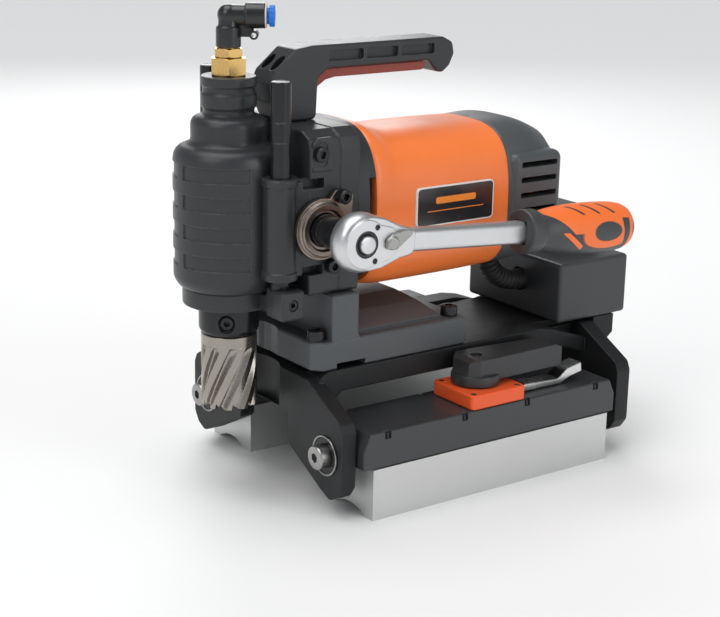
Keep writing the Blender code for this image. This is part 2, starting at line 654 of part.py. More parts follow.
def twisted_cutter(count, layers, twist):
    """Fluted wall of the cutter: a toothed ring drawn upwards while it turns."""
    bm = bmesh.new()
    ring = []
    for i in range(count):
        base = math.tau * i / count
        for share, radius in ((0.00, CUTTER_RADIUS), (0.25, CUTTER_RADIUS), (0.50, CUTTER_RADIUS),
                              (0.56, CUTTER_RADIUS - 0.0021), (0.80, CUTTER_RADIUS - 0.0023),
                              (0.97, CUTTER_RADIUS - 0.0008)):
            angle = base + share * math.tau / count
            ring.append(bm.verts.new((radius * math.cos(angle), radius * math.sin(angle),
                                      CUTTER_BOTTOM)))
    edges = [bm.edges.new((ring[i], ring[(i + 1) % len(ring)])) for i in range(len(ring))]
    bmesh.ops.contextual_create(bm, geom=edges)
    height = (FLUTE_TOP - CUTTER_BOTTOM) / layers
    for _ in range(layers):
        result = bmesh.ops.extrude_edge_only(bm, edges=edges)
        verts = [v for v in result["geom"] if isinstance(v, bmesh.types.BMVert)]
        edges = [e for e in result["geom"] if isinstance(e, bmesh.types.BMEdge)]
        bmesh.ops.rotate(bm, verts=verts, cent=(0, 0, 0),
                         matrix=Matrix.Rotation(math.radians(twist) / layers, 3, 'Z'))
        bmesh.ops.translate(bm, verts=verts, vec=(0, 0, height))
    bmesh.ops.contextual_create(bm, geom=edges)
    bmesh.ops.recalc_face_normals(bm, faces=bm.faces)
    mesh = bpy.data.meshes.new("cutter")
    bm.to_mesh(mesh)
    bm.free()
    obj = bpy.data.objects.new("cutter", mesh)
    PARTS.objects.link(obj)
    return obj


def spindle(quill_empty):
    axis = empty("spindle_axis", (0, 0, ARBOR_BOTTOM), quill_empty)
    nose = turned([(0.0, 0.1950), (0.0110, 0.1950), (0.0110, YOKE_BOTTOM - GAP),
                   (0.0170, YOKE_BOTTOM - GAP), (ARBOR_RADIUS, 0.1145), (ARBOR_RADIUS, ARBOR_BOTTOM + 0.0025),
                   (0.0160, ARBOR_BOTTOM), (0.0, ARBOR_BOTTOM)], (0, 0, 0), 'Z', 28)
    nose = cut(nose, rod((0, 0, 0.08), (0, 0, 0.1145), 0.0098, 18))
    for angle in (-36.0, 144.0):
        way = Vector((math.cos(math.radians(angle)), math.sin(math.radians(angle)), 0.0))
        place = Vector((0, 0, 0.1065))
        nose = cut(nose, rod(place, place + way * 0.03, 0.0042, 12))
    part("arbor", nose, BLACK_STEEL, axis)
    for angle, label in ((-36.0, "a"), (144.0, "b")):
        way = Vector((math.cos(math.radians(angle)), math.sin(math.radians(angle)), 0.0))
        place = Vector((0, 0, 0.1065))
        grub = rod(place + way * 0.0101, place + way * 0.0160, 0.0038, 10)
        grub = cut(grub, rod(place + way * 0.0125, place + way * 0.02, 0.0021, 6))
        part("arbor_screw_" + label, grub, BLACK_STEEL, axis)
    body = twisted_cutter(7, 4, 62.0)
    neck = turned([(0.0, 0.1135), (0.0094, 0.1135), (0.0094, ARBOR_BOTTOM - GAP),
                   (0.0162, ARBOR_BOTTOM - GAP), (0.0162, FLUTE_TOP - 0.0004),
                   (0.0, FLUTE_TOP - 0.0004)], (0, 0, 0), 'Z', 24)
    body = join(body, neck)
    body = cut(body, rod((0, 0, CUTTER_BOTTOM - 0.002), (0, 0, FLUTE_TOP - 0.0020), 0.0124, 18))
    body = cut(body, rod((0, 0, 0.07), (0, 0, 0.12), 0.0036, 8))
    for i in range(7):
        turn = Matrix.Rotation(math.tau * (i + 0.02) / 7, 4, 'Z')
        notch = plate([(-0.0020, CUTTER_BOTTOM - 0.001), (0.0034, CUTTER_BOTTOM - 0.001),
                       (-0.0012, CUTTER_BOTTOM + 0.0030)], 'X', 0.0105, 0.0175)
        body = cut(body, moved(notch, turn))
    part("annular_cutter", body, STEEL, axis)
    pin = turned([(0.0, 0.1130), (0.0032, 0.1130), (0.0032, 0.0560), (0.0, 0.0515)], (0, 0, 0), 'Z', 8)
    part("pilot_pin", pin, STAINLESS, axis)


# ---------------------------------------------------------------- motor
def motor_housing():
    """Orange sleeve: a rounded square that flares up at its front."""
    body = loft([(MOTOR_FRONT, 0.0456, 0.0530, 0.0420), (0.0740, 0.0462, 0.0535, 0.0430),
                 (0.0790, 0.0462, 0.0520, 0.0445), (0.0860, 0.0460, 0.0475, 0.0452),
                 (0.1200, 0.0457, 0.0468, 0.0452), (0.1690, MOTOR_HALF + 0.0003, 0.0462, 0.0444),
                 (MOTOR_REAR, MOTOR_HALF - 0.0004, 0.0458, 0.0440)], 32)
    bore = turned([(0.0, 0.12), (0.0398, 0.12), (0.0398, -0.01), (0.0, -0.01)],
                  (0, MOTOR_FRONT, MOTOR_Z), 'Y', 24)
    part("motor_housing", cut(body, bore), ORANGE, ROOT)


def motor_cap():
    """Rear cap with a vented bulge on each side."""
    y0 = MOTOR_REAR + GAP
    body = loft([(y0, MOTOR_HALF - 0.0002, 0.0460, 0.0440), (0.1880, 0.0442, 0.0468, 0.0436),
                 (0.2000, 0.0420, 0.0445, 0.0415), (0.2120, 0.0375, 0.0395, 0.0370),
                 (CAP_REAR, 0.0320, 0.0335, 0.0320)], 28)
    bulge = box(-0.0468, 0.0468, y0 + 0.0015, 0.2125, MOTOR_Z - 0.0260, MOTOR_Z + 0.0290)
    bulge = bevel(bulge, 0.0050, 1)
    body = join(body, bulge)
    hollow = turned([(0.0, 0.2155 - y0), (0.0260, 0.2150 - y0), (0.0360, 0.2060 - y0), (0.0390, 0.1900 - y0),
                     (0.0390, -0.01), (0.0, -0.01)], (0, y0, MOTOR_Z), 'Y', 20)
    body = cut(body, hollow)
    for sign in (1.0, -1.0):
        for i in range(4):
            z = 0.1852 - 0.0094 * i
            low = min(sign * 0.030, sign * 0.060)
            high = max(sign * 0.030, sign * 0.060)
            body = cut(body, box(low, high, 0.1785, 0.2070, z - 0.0017, z + 0.0017))
    part("motor_end_cap", body, DARK_GREY, ROOT)


def nameplate():
    """Printed plate on the flat of the motor's right side."""
    outline = [(0.0985, 0.1560), (0.1565, 0.1560), (0.1565, 0.1795), (0.0985, 0.1795)]
    body = plate(outline, 'X', 0.0464, 0.0470)
    part("nameplate", body, LABEL, ROOT)


def motor_inside():
    stator = turned([(0.0290, 0.0950), (0.0394, 0.0950), (0.0394, 0.0250), (0.0290, 0.0250),
                     (0.0290, 0.0950)], (0, MOTOR_FRONT, MOTOR_Z), 'Y', 20)
    part("motor_stator", stator, STEEL, ROOT)
    axis = empty("armature_axis", (0, 0.120, MOTOR_Z), ROOT)
    rotor = turned([(0.0, 0.172), (0.0045, 0.172), (0.0045, 0.166), (0.0330, 0.165), (0.0330, 0.158),
                    (0.0060, 0.157), (0.0060, 0.142), (0.0140, 0.141), (0.0140, 0.128),
                    (0.0060, 0.127), (0.0270, 0.124), (0.0270, 0.058),
                    (0.0060, 0.055), (0.0060, 0.010), (0.0, 0.010)], (0, 0.0400, MOTOR_Z), 'Y', 14)
    part("armature", rotor, COPPER, axis)


# ---------------------------------------------------------------- handle
def carry_handle():
    """Grip bar over the motor on a sloping forked front post, open at the rear."""
    side = [(0.0275, 0.2183), (0.0215, 0.2300), (0.0205, 0.2400), (0.0240, 0.2470),
            (0.0385, 0.2590), (0.0500, 0.2605), (0.1440, 0.2605), (0.1510, 0.2570),
            (0.1525, 0.2500), (0.1490, 0.2430), (0.1440, 0.2392), (0.1395, 0.2398),
            (0.1330, 0.2470), (0.0600, 0.2465), (0.0535, 0.2415), (0.0525, 0.2183)]
    body = plate(side, 'X', -0.0105, 0.0105, 0.0016, 1)
    for sign in (1.0, -1.0):
        low = min(sign * 0.0075, sign * 0.02)
        high = max(sign * 0.0075, sign * 0.02)
        for y0, y1 in ((0.0600, 0.0850), (0.0870, 0.1100), (0.1120, 0.1370)):
            pocket = plate(rounded(y0, y1, 0.2510, 0.2572, 0.0015, 2), 'X', low, high)
            body = cut(body, pocket)
    for x in (0.0045, -0.0045):
        body = cut(body, rod((x, 0.0180, 0.2570), (x, 0.0320, 0.2430), 0.0032, 10))
    part("carry_handle", body, DARK_GREY, ROOT)
    insert = [(0.0625, 0.2462), (0.0665, 0.2418), (0.1300, 0.2418), (0.1322, 0.2462)]
    grip = plate(insert, 'X', -0.0080, 0.0080, 0.0010, 1)
    part("handle_insert", moved(grip, Matrix.Translation((0, 0, -0.0001))), RED_ORANGE, ROOT)


# ---------------------------------------------------------------- control box and conduit
def control_box():
    body = box(-BOX_HALF, BOX_HALF, BOX_FRONT, BOX_REAR, BOX_BOTTOM, BOX_TOP, 0.0022, 1)
    hollow = box(-0.041, 0.041, BOX_FRONT + 0.004, BOX_REAR - 0.004, BOX_BOTTOM - 0.002, BOX_TOP - 0.004)
    body = cut(body, hollow)
    hood = box(-0.040, 0.018, 0.2420, 0.2750, BOX_TOP - 0.002, 0.1420, 0.0020, 1)
    body = join(body, hood)
    body = cut(body, rod((0.0060, BOX_FRONT - 0.01, 0.1000), (0.0060, BOX_FRONT + 0.01, 0.1000), 0.0078, 14))
    for x in (-0.026, -0.002):
        body = cut(body, rod((x, 0.2700, 0.1300), (x, 0.2800, 0.1300), 0.0068, 14))
    part("control_box", body, DARK_GREY, ROOT)
    floor = box(-0.0405, 0.0405, BOX_FRONT + 0.0045, BOX_REAR - 0.0045, BOX_BOTTOM + 0.0003,
                BOX_BOTTOM + 0.0035)
    part("box_floor", floor, MID_GREY, ROOT)
    for x, label, colour in ((-0.026, "stop", RED_ORANGE), (-0.002, "start", BLUE)):
        axis = empty("button_axis_" + label, (x, 0.2750, 0.1300), ROOT)
        button = rod((x, 0.2722, 0.1300), (x, 0.2790, 0.1300), 0.0063, 14, 0.0008)
        part("button_" + label, button, colour, axis)


def box_bracket():
    """Plate between the rails that carries the control box, with two lugs."""
    body = plate([(-0.0330, 0.1390), (0.0330, 0.1390), (0.0330, 0.2480), (0.0440, 0.2485),
                  (0.0440, 0.2660), (-0.0440, 0.2660), (-0.0440, 0.2485), (-0.0330, 0.2480)],
                 'Z', 0.0743, BOX_BOTTOM - GAP)
    for side in (1.0, -1.0):
        lug = plate([(0.2485, 0.0760), (0.2485, 0.0620), (0.2610, 0.0620), (0.2660, 0.0660),
                     (0.2660, 0.0760)], 'X', min(side * 0.0370, side * 0.0440),
                    max(side * 0.0370, side * 0.0440))
        body = join(body, lug)
    part("box_bracket", body, DARK_GREY, ROOT)


def conduit_path(t):
    """Centre line of the conduit from the motor's underside into the box."""
    if t > 0.8:
        return Vector((0.0060, 0.2155 + (t - 0.8) * 0.045, 0.1000))
    turn = t / 0.8 * math.pi / 2
    y = 0.1890 + 0.0265 * (1.0 - math.cos(turn))
    z = 0.1186 - 0.0186 * math.sin(turn)
    return Vector((0.0060, y, z))


def conduit():
    """Corrugated conduit: a tube whose radius rises and falls along its length."""
    curve = bpy.data.curves.new("conduit", 'CURVE')
    curve.dimensions = '3D'
    curve.bevel_depth = 0.0068
    curve.bevel_resolution = 2
    curve.use_fill_caps = True
    spline = curve.splines.new('POLY')
    ribs = 11
    points = []
    for i in range(ribs * 2 + 1):
        points.append((conduit_path(i / (ribs * 2)), 1.0 if i % 2 == 0 else 0.80))
    spline.points.add(len(points) - 1)
    for point, (place, radius) in zip(spline.points, points):
        point.co = (*place, 1.0)
        point.radius = radius
    obj = bpy.data.objects.new("conduit", curve)
    PARTS.objects.link(obj)
    part("motor_conduit", settle(obj), RUBBER, ROOT)


# ---------------------------------------------------------------- coolant fitting
def coolant_fitting():
    adapter = rod((0, 0, NECK_TOP + GAP), (0, 0, NECK_TOP + 0.0100), 0.0108, 6, 0.0006)
    stud = rod((0, 0, NECK_TOP - 0.0100), (0, 0, NECK_TOP + 0.004), 0.0058, 14)
    adapter = join(adapter, stud)
    adapter = cut(adapter, rod((0, 0, NECK_TOP - 0.02), (0, 0, NECK_TOP + 0.02), 0.0032, 12))
    part("brass_adapter", adapter, BRASS, ROOT)
    z0 = NECK_TOP + 0.0103
    nut = rod((0, 0, z0), (0, 0, z0 + 0.0048), 0.0086, 6, 0.0005)
    nut = join(nut, rod((0, 0, z0 + 0.002), (0, 0, z0 + 0.0085), 0.0048, 14))
    nut = cut(nut, rod((0, 0, z0 - 0.01), (0, 0, z0 + 0.02), 0.0028, 12))
    part("brass_nut", nut, BRASS, ROOT)
    axis = empty("elbow_axis", (0, 0, z0 + 0.0055), ROOT)
    z1 = z0 + 0.0053
    centre = Vector((0, 0, 0.2790))
    lower = turned([(0.0, 0.2790), (0.0055, 0.2788), (0.0058, 0.2730), (0.0070, 0.2720),
                    (0.0070, z1), (0.0, z1)], (0, 0, 0), 'Z', 18)
    way = Vector((math.cos(math.radians(ELBOW_TURN)), math.sin(math.radians(ELBOW_TURN)), 0.0))
    bpy.ops.mesh.primitive_uv_sphere_add(segments=14, ring_count=7, radius=0.0061, location=centre)
    knee = settle(take(bpy.context.object))
    neck = rod(centre, centre + way * 0.0120, 0.0056, 14)
    arm = rod(centre + way * 0.0092, centre + way * 0.0212, 0.0071, 18, 0.0007)
    flat = Vector((math.cos(math.radians(-36.0)), math.sin(math.radians(-36.0)), 0.0))
    hold = Vector((0, 0, 0.2685)) + way * 0.0142
    eye = rod(hold - flat * 0.0045, hold + flat * 0.0040, 0.0025, 8)
    web = box(-0.0006, 0.0006, 0.0060, 0.0140, 0.2672, 0.2735)
    moved(web, Matrix.Rotation(math.radians(ELBOW_TURN - 90.0), 4, 'Z'))
    eye = join(eye, web)
    arm = join(neck, arm)
    body = join(lower, knee, arm, eye)
    body = cut(body, rod((0, 0, z1 - 0.002), (0, 0, 0.2740), 0.0051, 12))
    body = cut(body, rod(centre + way * 0.006, centre + way * 0.03, 0.0050, 12))
    part("elbow_body", body, BLACK_PLASTIC, axis)
    slide = empty("collet_axis", centre + way * 0.0215, axis)
    collet = rod(centre + way * 0.0110, centre + way * 0.0240, 0.0046, 12)
    rim = rod(centre + way * 0.0226, centre + way * 0.0256, 0.0060, 16, 0.0005)
    collet = join(collet, rim)
    collet = cut(collet, rod(centre, centre + way * 0.03, 0.0029, 10))
    part("collet", collet, BLUE, slide)


# ---------------------------------------------------------------- feed shaft and wrench
def wrench():
    """Ratchet wrench on the feed shaft, its grip hanging a little to the rear."""
    shaft = empty("feed_axis", (0.050, FEED_Y, FEED_Z), ROOT)
    hub = turned([(0.0, WRENCH_IN - GAP), (0.0085, WRENCH_IN - GAP), (0.0092, WRENCH_IN - 0.0012),
                  (0.0092, 0.0462), (0.0072, 0.0460), (0.0072, -0.0435), (0.0, -0.0435)],
                 (0, FEED_Y, FEED_Z), 'X', 18)
    part("feed_shaft", hub, BLACK_STEEL, shaft)
    axis = empty("wrench_axis", (WRENCH_MID, FEED_Y, FEED_Z), ROOT)
    tilt = (Matrix.Translation((0, FEED_Y, FEED_Z)) @ Matrix.Rotation(-WRENCH_TILT, 4, 'X')
            @ Matrix.Translation((0, -FEED_Y, -FEED_Z)))
    x0 = WRENCH_IN
    x1 = WRENCH_OUT
    head = turned([(0.0, x1), (0.0120, x1), (0.0150, x1 - 0.0012), (0.0164, x1 - 0.0040),
                   (0.0168, x1 - 0.0080), (0.0155, x0 + 0.0014), (0.0140, x0), (0.0, x0)],
                  (0, FEED_Y, FEED_Z), 'X', 28)
    pod = [(FEED_Y - 0.002, FEED_Z + 0.0160), (FEED_Y + 0.012, FEED_Z + 0.0136),
           (FEED_Y + 0.024, FEED_Z + 0.0090), (FEED_Y + 0.033, FEED_Z + 0.0074),
           (FEED_Y + 0.033, FEED_Z - 0.0074), (FEED_Y + 0.024, FEED_Z - 0.0090),
           (FEED_Y + 0.012, FEED_Z - 0.0136), (FEED_Y - 0.002, FEED_Z - 0.0160)]
    neck = plate(pod, 'X', x0 + 0.0012, x1 - 0.0006, 0.0022, 1)
    shank = plate([(FEED_Y + 0.026, FEED_Z + 0.0066), (FEED_Y + 0.124, FEED_Z + 0.0066),
                   (FEED_Y + 0.124, FEED_Z - 0.0066), (FEED_Y + 0.026, FEED_Z - 0.0066)], 'X',
                  x0 + 0.0028, x1 - 0.0022, 0.0026, 1)
    body = join(head, neck, shank)
    body = cut(body, rod((x1 - 0.0045, FEED_Y, FEED_Z), (x1 + 0.01, FEED_Y, FEED_Z), 0.0075, 16))
    body = cut(body, rod((x0 - 0.01, FEED_Y, FEED_Z), (x1 - 0.003, FEED_Y, FEED_Z), 0.0040, 8))
    part("wrench_head", moved(body, tilt), CHROME, axis)
    press = empty("release_axis", (x1, FEED_Y, FEED_Z), axis)
    button = turned([(0.0, x1 + 0.0022), (0.0046, x1 + 0.0022), (0.0054, x1 + 0.0014), (0.0054, x1 - 0.0010),
                     (0.0072, x1 - 0.0012), (0.0072, x1 - 0.0030), (0.0, x1 - 0.0030)],
                    (0, FEED_Y, FEED_Z), 'X', 16)
    part("release_button", button, CHROME, press)
    yp = FEED_Y + 0.0160
    zp = FEED_Z + 0.0006
    centre = tilt @ Vector((x1, yp, zp))
    pawl = empty("reverse_axis", centre, axis)
    blade = plate([(yp - 0.0035, zp - 0.0035), (yp + 0.0030, zp - 0.0038), (yp + 0.0130, zp + 0.0042),
                   (yp + 0.0135, zp + 0.0066), (yp + 0.0100, zp + 0.0070), (yp - 0.0005, zp + 0.0048),
                   (yp - 0.0040, zp + 0.0020)], 'X', x1 + 0.0003, x1 + 0.0024, 0.0005, 1)
    knob = rod((x1 + 0.0003, yp, zp), (x1 + 0.0032, yp, zp), 0.0040, 12, 0.0004)
    part("reverse_lever", moved(join(blade, knob), tilt), STAINLESS, pawl)
    y0 = FEED_Y + 0.1150
    grip = turned([(0.0, 0.0850), (0.0085, 0.0842), (0.0126, 0.0810), (0.0146, 0.0740),
                   (0.0154, 0.0600), (0.0150, 0.0420), (0.0140, 0.0270), (0.0124, 0.0185),
                   (0.0116, 0.0120), (0.0122, 0.0100), (0.0132, 0.0085), (0.0132, 0.0025),
                   (0.0118, 0.0004), (0.0, 0.0004)], (WRENCH_MID, y0, FEED_Z), 'Y', 20)
    socket = plate([(y0 - 0.01, FEED_Z + 0.0070), (y0 + 0.0095, FEED_Z + 0.0070),
                    (y0 + 0.0095, FEED_Z - 0.0070), (y0 - 0.01, FEED_Z - 0.0070)], 'X',
                   x0 + 0.0024, x1 - 0.0018)
    part("wrench_grip", moved(cut(grip, socket), tilt), ORANGE, axis)


# ---------------------------------------------------------------- assembly
clear_scene()
PARTS = make_collection("magnetic_drill_press")
PLACES = {}
ROOT = bpy.data.objects.new("drill_press", None)
PARTS.objects.link(ROOT)
PLACES[ROOT.name] = Vector((0.0, 0.0, 0.0))

saddle_frame()
pivot_bolts()
magnet_units()
base_casting()
base_screws()
gear_housing()
feed_flange()
feed_screws()
housing_screw()
spindle(quill())
motor_housing()
motor_cap()
nameplate()
motor_inside()
carry_handle()
control_box()
box_bracket()
conduit()
coolant_fitting()
wrench()
ROOT.location = CENTRE_SHIFT
bpy.context.view_layer.update()
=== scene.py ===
import json
import math

import bmesh
import bpy
from mathutils import Matrix, Vector


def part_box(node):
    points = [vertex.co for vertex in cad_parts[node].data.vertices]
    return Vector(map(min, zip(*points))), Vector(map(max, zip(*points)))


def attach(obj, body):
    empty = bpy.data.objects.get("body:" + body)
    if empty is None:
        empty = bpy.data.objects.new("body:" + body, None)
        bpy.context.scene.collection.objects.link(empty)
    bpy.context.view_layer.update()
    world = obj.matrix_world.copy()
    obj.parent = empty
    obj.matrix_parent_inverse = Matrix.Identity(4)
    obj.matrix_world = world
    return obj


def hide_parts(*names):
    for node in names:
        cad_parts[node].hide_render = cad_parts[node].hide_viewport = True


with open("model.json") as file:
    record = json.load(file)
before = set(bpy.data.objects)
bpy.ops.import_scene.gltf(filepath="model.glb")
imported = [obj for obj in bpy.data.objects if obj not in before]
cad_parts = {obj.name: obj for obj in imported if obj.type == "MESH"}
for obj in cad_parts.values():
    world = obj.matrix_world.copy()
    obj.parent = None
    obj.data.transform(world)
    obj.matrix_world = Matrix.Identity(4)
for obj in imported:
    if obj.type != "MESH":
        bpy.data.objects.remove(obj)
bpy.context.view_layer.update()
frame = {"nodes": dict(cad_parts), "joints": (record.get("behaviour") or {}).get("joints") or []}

JOINTS = {joint["name"]: joint for joint in frame["joints"]}

# Every length below is in metres, measured from the spindle's axis: x to the wrench's side,
# y to the rear and z up from the floor. SHIFT carries that frame into the row frame.
SPINDLE = Vector(JOINTS["spindle_spin"]["pos_m"])
SHIFT = Vector((SPINDLE.x, SPINDLE.y, 0.0))


def low(node):
    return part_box(node)[0] - SHIFT


def high(node):
    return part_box(node)[1] - SHIFT


def middle(node):
    return (low(node) + high(node)) / 2


# ---------------------------------------------------------------- sizes, from the frame
FEED = Vector(JOINTS["feed_turn"]["pos_m"]) - SHIFT
MOTOR = Vector(JOINTS["motor_spin"]["pos_m"]) - SHIFT
WRENCH = Vector(JOINTS["wrench_swing"]["pos_m"]) - SHIFT
SWITCH = Vector(JOINTS["switch_turn_right"]["pos_m"]) - SHIFT
PIVOT = Vector(JOINTS["magnet_tilt_right"]["pos_m"]) - SHIFT
ELBOW_TURN = math.radians(54.0)
WRENCH_TILT = math.radians(4.2)
BARREL_RADIUS = 0.0316
FLUTES = 10
FLUTE_TWIST = math.radians(62.0)
SCREW_HEX_SHARE = 0.55
SIDES = ((1.0, "right"), (-1.0, "left"))
ROD = middle("guide_rod_right")
ROD_RADIUS = (high("guide_rod_right").x - low("guide_rod_right").x) / 2
NECK_TOP = high("gear_housing").z
FRONT_OF_MOTOR = low("motor_housing").y
REAR_OF_SLEEVE = high("motor_housing").y
WRENCH_IN = low("wrench_head").x
WRENCH_OUT = high("wrench_head").x
CUTTER_RADIUS = (high("annular_cutter").x - low("annular_cutter").x) / 2
CUTTER_BOTTOM = low("annular_cutter").z
ARBOR_BOTTOM = SPINDLE.z
COVER_TOP = high("magnet_cover_right").z


# ---------------------------------------------------------------- mesh tools
def new_object(name, mesh):
    obj = bpy.data.objects.new(name, mesh)
    bpy.context.scene.collection.objects.link(obj)
    return obj


def from_bmesh(name, bm):
    bmesh.ops.recalc_face_normals(bm, faces=bm.faces)
    mesh = bpy.data.meshes.new(name)
    bm.to_mesh(mesh)
    bm.free()
    return new_object(name, mesh)


def settle(obj):
    """Apply an object's modifiers and its matrix."""
    bpy.context.view_layer.update()
    graph = bpy.context.evaluated_depsgraph_get()
    mesh = bpy.data.meshes.new_from_object(obj.evaluated_get(graph))
    mesh.transform(obj.matrix_world)
    name = obj.name
    bpy.data.objects.remove(obj, do_unlink=True)
    bm = bmesh.new()
    bm.from_mesh(mesh)
    bmesh.ops.remove_doubles(bm, verts=bm.verts, dist=0.000005)
    bmesh.ops.recalc_face_normals(bm, faces=bm.faces)
    bm.to_mesh(mesh)
    bm.free()
    return new_object(name, mesh)


def bevel(obj, width, segments=3, angle=30.0):
    modifier = obj.modifiers.new("Bevel", 'BEVEL')
    modifier.width = width
    modifier.segments = segments
    modifier.limit_method = 'ANGLE'
    modifier.angle_limit = math.radians(angle)
    return settle(obj)


def block(x0, x1, y0, y1, z0, z1, edge=0.0, segments=3):
    """A block between two corners, its edges rounded."""
    bm = bmesh.new()
    bmesh.ops.create_cube(bm, size=1.0)
    bmesh.ops.scale(bm, vec=(abs(x1 - x0), abs(y1 - y0), abs(z1 - z0)), verts=bm.verts)
    bmesh.ops.translate(bm, vec=((x0 + x1) / 2, (y0 + y1) / 2, (z0 + z1) / 2), verts=bm.verts)
    obj = from_bmesh("block", bm)
    return bevel(obj, edge, segments) if edge > 0.0 else obj


def rod(start, end, radius, sides=48, edge=0.0):
    """A round or many-sided bar between two points."""
    a = Vector(start)
    b = Vector(end)
    bm = bmesh.new()
    bmesh.ops.create_cone(bm, cap_ends=True, segments=sides, radius1=radius, radius2=radius,
                          depth=(b - a).length)
    turn = (b - a).to_track_quat('Z', 'Y').to_matrix().to_4x4()
    bmesh.ops.transform(bm, matrix=Matrix.Translation((a + b) / 2) @ turn, verts=bm.verts)
    obj = from_bmesh("rod", bm)
    return bevel(obj, edge, 3, 50.0) if edge > 0.0 else obj


def upright(z0, z1, radius, sides=48):
    """An upright bar about x = y = 0."""
    return rod((0, 0, z0), (0, 0, z1), radius, sides)


def plate(outline, axis, near, far, edge=0.0, segments=3):
    """An outline given thickness, with both rims rounded: (y, z) for X, (x, z) for Y, (x, y) for Z."""
    bm = bmesh.new()
    place = {'X': lambda u, v: (near, u, v), 'Y': lambda u, v: (u, near, v),
             'Z': lambda u, v: (u, v, near)}[axis]
    face = bm.faces.new([bm.verts.new(place(u, v)) for u, v in outline])
    way = Vector({'X': (1, 0, 0), 'Y': (0, 1, 0), 'Z': (0, 0, 1)}[axis])
    grown = bmesh.ops.extrude_face_region(bm, geom=[face])
    verts = [v for v in grown["geom"] if isinstance(v, bmesh.types.BMVert)]
    bmesh.ops.translate(bm, vec=way * (far - near), verts=verts)
    if edge > 0.0:
        bmesh.ops.recalc_face_normals(bm, faces=bm.faces)
        rim = [e for e in bm.edges if abs((e.verts[0].co - e.verts[1].co).dot(way)) < 0.0000001]
        bmesh.ops.bevel(bm, geom=rim, offset=edge, segments=segments, profile=0.5,
                        affect='EDGES', clamp_overlap=True)
    return from_bmesh("plate", bm)


def skin(name, bm, rings):
    """Faces between closed rings of points, and a cap at each end."""
    for a, b in zip(rings, rings[1:]):
        for i in range(len(a)):
            j = (i + 1) % len(a)
            bm.faces.new((a[i], a[j], b[j], b[i]))
    bm.faces.new(rings[0])
    bm.faces.new(rings[-1])
    return from_bmesh(name, bm)


def turned(profile, origin=(0, 0, 0), axis='Z', steps=96):
    """A profile of (radius, height) turned about an axis."""
    bm = bmesh.new()
    rings = []
    for radius, height in profile:
        if radius <= 0.0:
            rings.append([bm.verts.new((0.0, 0.0, height))])
            continue
        rings.append([bm.verts.new((radius * math.cos(math.tau * i / steps),
                                    radius * math.sin(math.tau * i / steps), height))
                      for i in range(steps)])
    for a, b in zip(rings, rings[1:]):
        for i in range(steps):
            j = (i + 1) % steps
            corners = [a[i % len(a)], a[j % len(a)], b[j % len(b)], b[i % len(b)]]
            unique = list(dict.fromkeys(corners))
            if len(unique) > 2:
                bm.faces.new(unique)
    turn = {'Z': Matrix.Identity(4),
            'Y': Matrix.Rotation(-math.pi / 2, 4, 'X'),
            'X': Matrix.Rotation(math.pi / 2, 4, 'Y')}[axis]
    bmesh.ops.transform(bm, matrix=Matrix.Translation(origin) @ turn, verts=bm.verts)
    bmesh.ops.remove_doubles(bm, verts=bm.verts, dist=0.000001)
    return from_bmesh("turned", bm)


def combine(base, tools, operation):
    for tool in tools:
        modifier = base.modifiers.new("Boolean", 'BOOLEAN')
        modifier.operation = operation
        modifier.solver = 'EXACT'
        modifier.object = tool
        base = settle(base)
        bpy.data.objects.remove(tool, do_unlink=True)
    return base


def join(base, *tools):
    return combine(base, tools, 'UNION')


def cut(base, *tools):
    return combine(base, tools, 'DIFFERENCE')


def merge(*objects):
    """Several bodies in one mesh, without a boolean."""
    bm = bmesh.new()
    for obj in objects:
        bm.from_mesh(obj.data)
        bpy.data.objects.remove(obj, do_unlink=True)
    mesh = bpy.data.meshes.new("merged")
    bm.to_mesh(mesh)
    bm.free()
    return new_object("merged", mesh)


def moved(obj, matrix):
    obj.data.transform(matrix)
    return obj


def flipped(obj):
    """Mirror a finished mesh across x = 0."""
    obj.data.transform(Matrix.Scale(-1.0, 4, (1, 0, 0)))
    obj.data.flip_normals()
    return obj


def arc(cu, cv, radius, start, end, count):
    """Points along an arc, angles in degrees, both ends included."""
    angles = [math.radians(start + (end - start) * i / count) for i in range(count + 1)]
    return [(cu + radius * math.cos(a), cv + radius * math.sin(a)) for a in angles]


def rounded(u0, u1, v0, v1, radius, count=6):
    """A rectangle with rounded corners."""
    points = arc(u1 - radius, v1 - radius, radius, 0, 90, count)
    points += arc(u0 + radius, v1 - radius, radius, 90, 180, count)
    points += arc(u0 + radius, v0 + radius, radius, 180, 270, count)
    points += arc(u1 - radius, v0 + radius, radius, 270, 360, count)
    return points


def both(side, a, b):
    """The ordered x range of a feature on one side."""
    return min(side * a, side * b), max(side * a, side * b)


def close_cracks(obj):
    """Weld points that a cut left a hair apart, and fill what is still open."""
    bm = bmesh.new()
    bm.from_mesh(obj.data)
    bmesh.ops.remove_doubles(bm, verts=bm.verts, dist=0.000002)
    bmesh.ops.dissolve_degenerate(bm, edges=bm.edges, dist=0.000002)
    rim = [edge for edge in bm.edges if len(edge.link_faces) == 1]
    if rim:
        bmesh.ops.holes_fill(bm, edges=rim, sides=0)
    bm.to_mesh(obj.data)
    bm.free()


def piece(name, obj, entry, body, replaced=(), smooth=32.0):
    """Name a finished piece, shade it, give it its material and let it ride on its body."""
    obj.data.transform(Matrix.Translation(SHIFT))
    close_cracks(obj)
    obj.name = name
    obj.data.name = name
    obj.data.materials.clear()
    obj.data.materials.append(entry)
    obj.data.shade_smooth()
    obj.data.set_sharp_from_angle(angle=math.radians(smooth))
    weighted = obj.modifiers.new("Weighted", 'WEIGHTED_NORMAL')
    weighted.keep_sharp = True
    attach(obj, body)
    if replaced:
        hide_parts(*replaced)
    return obj


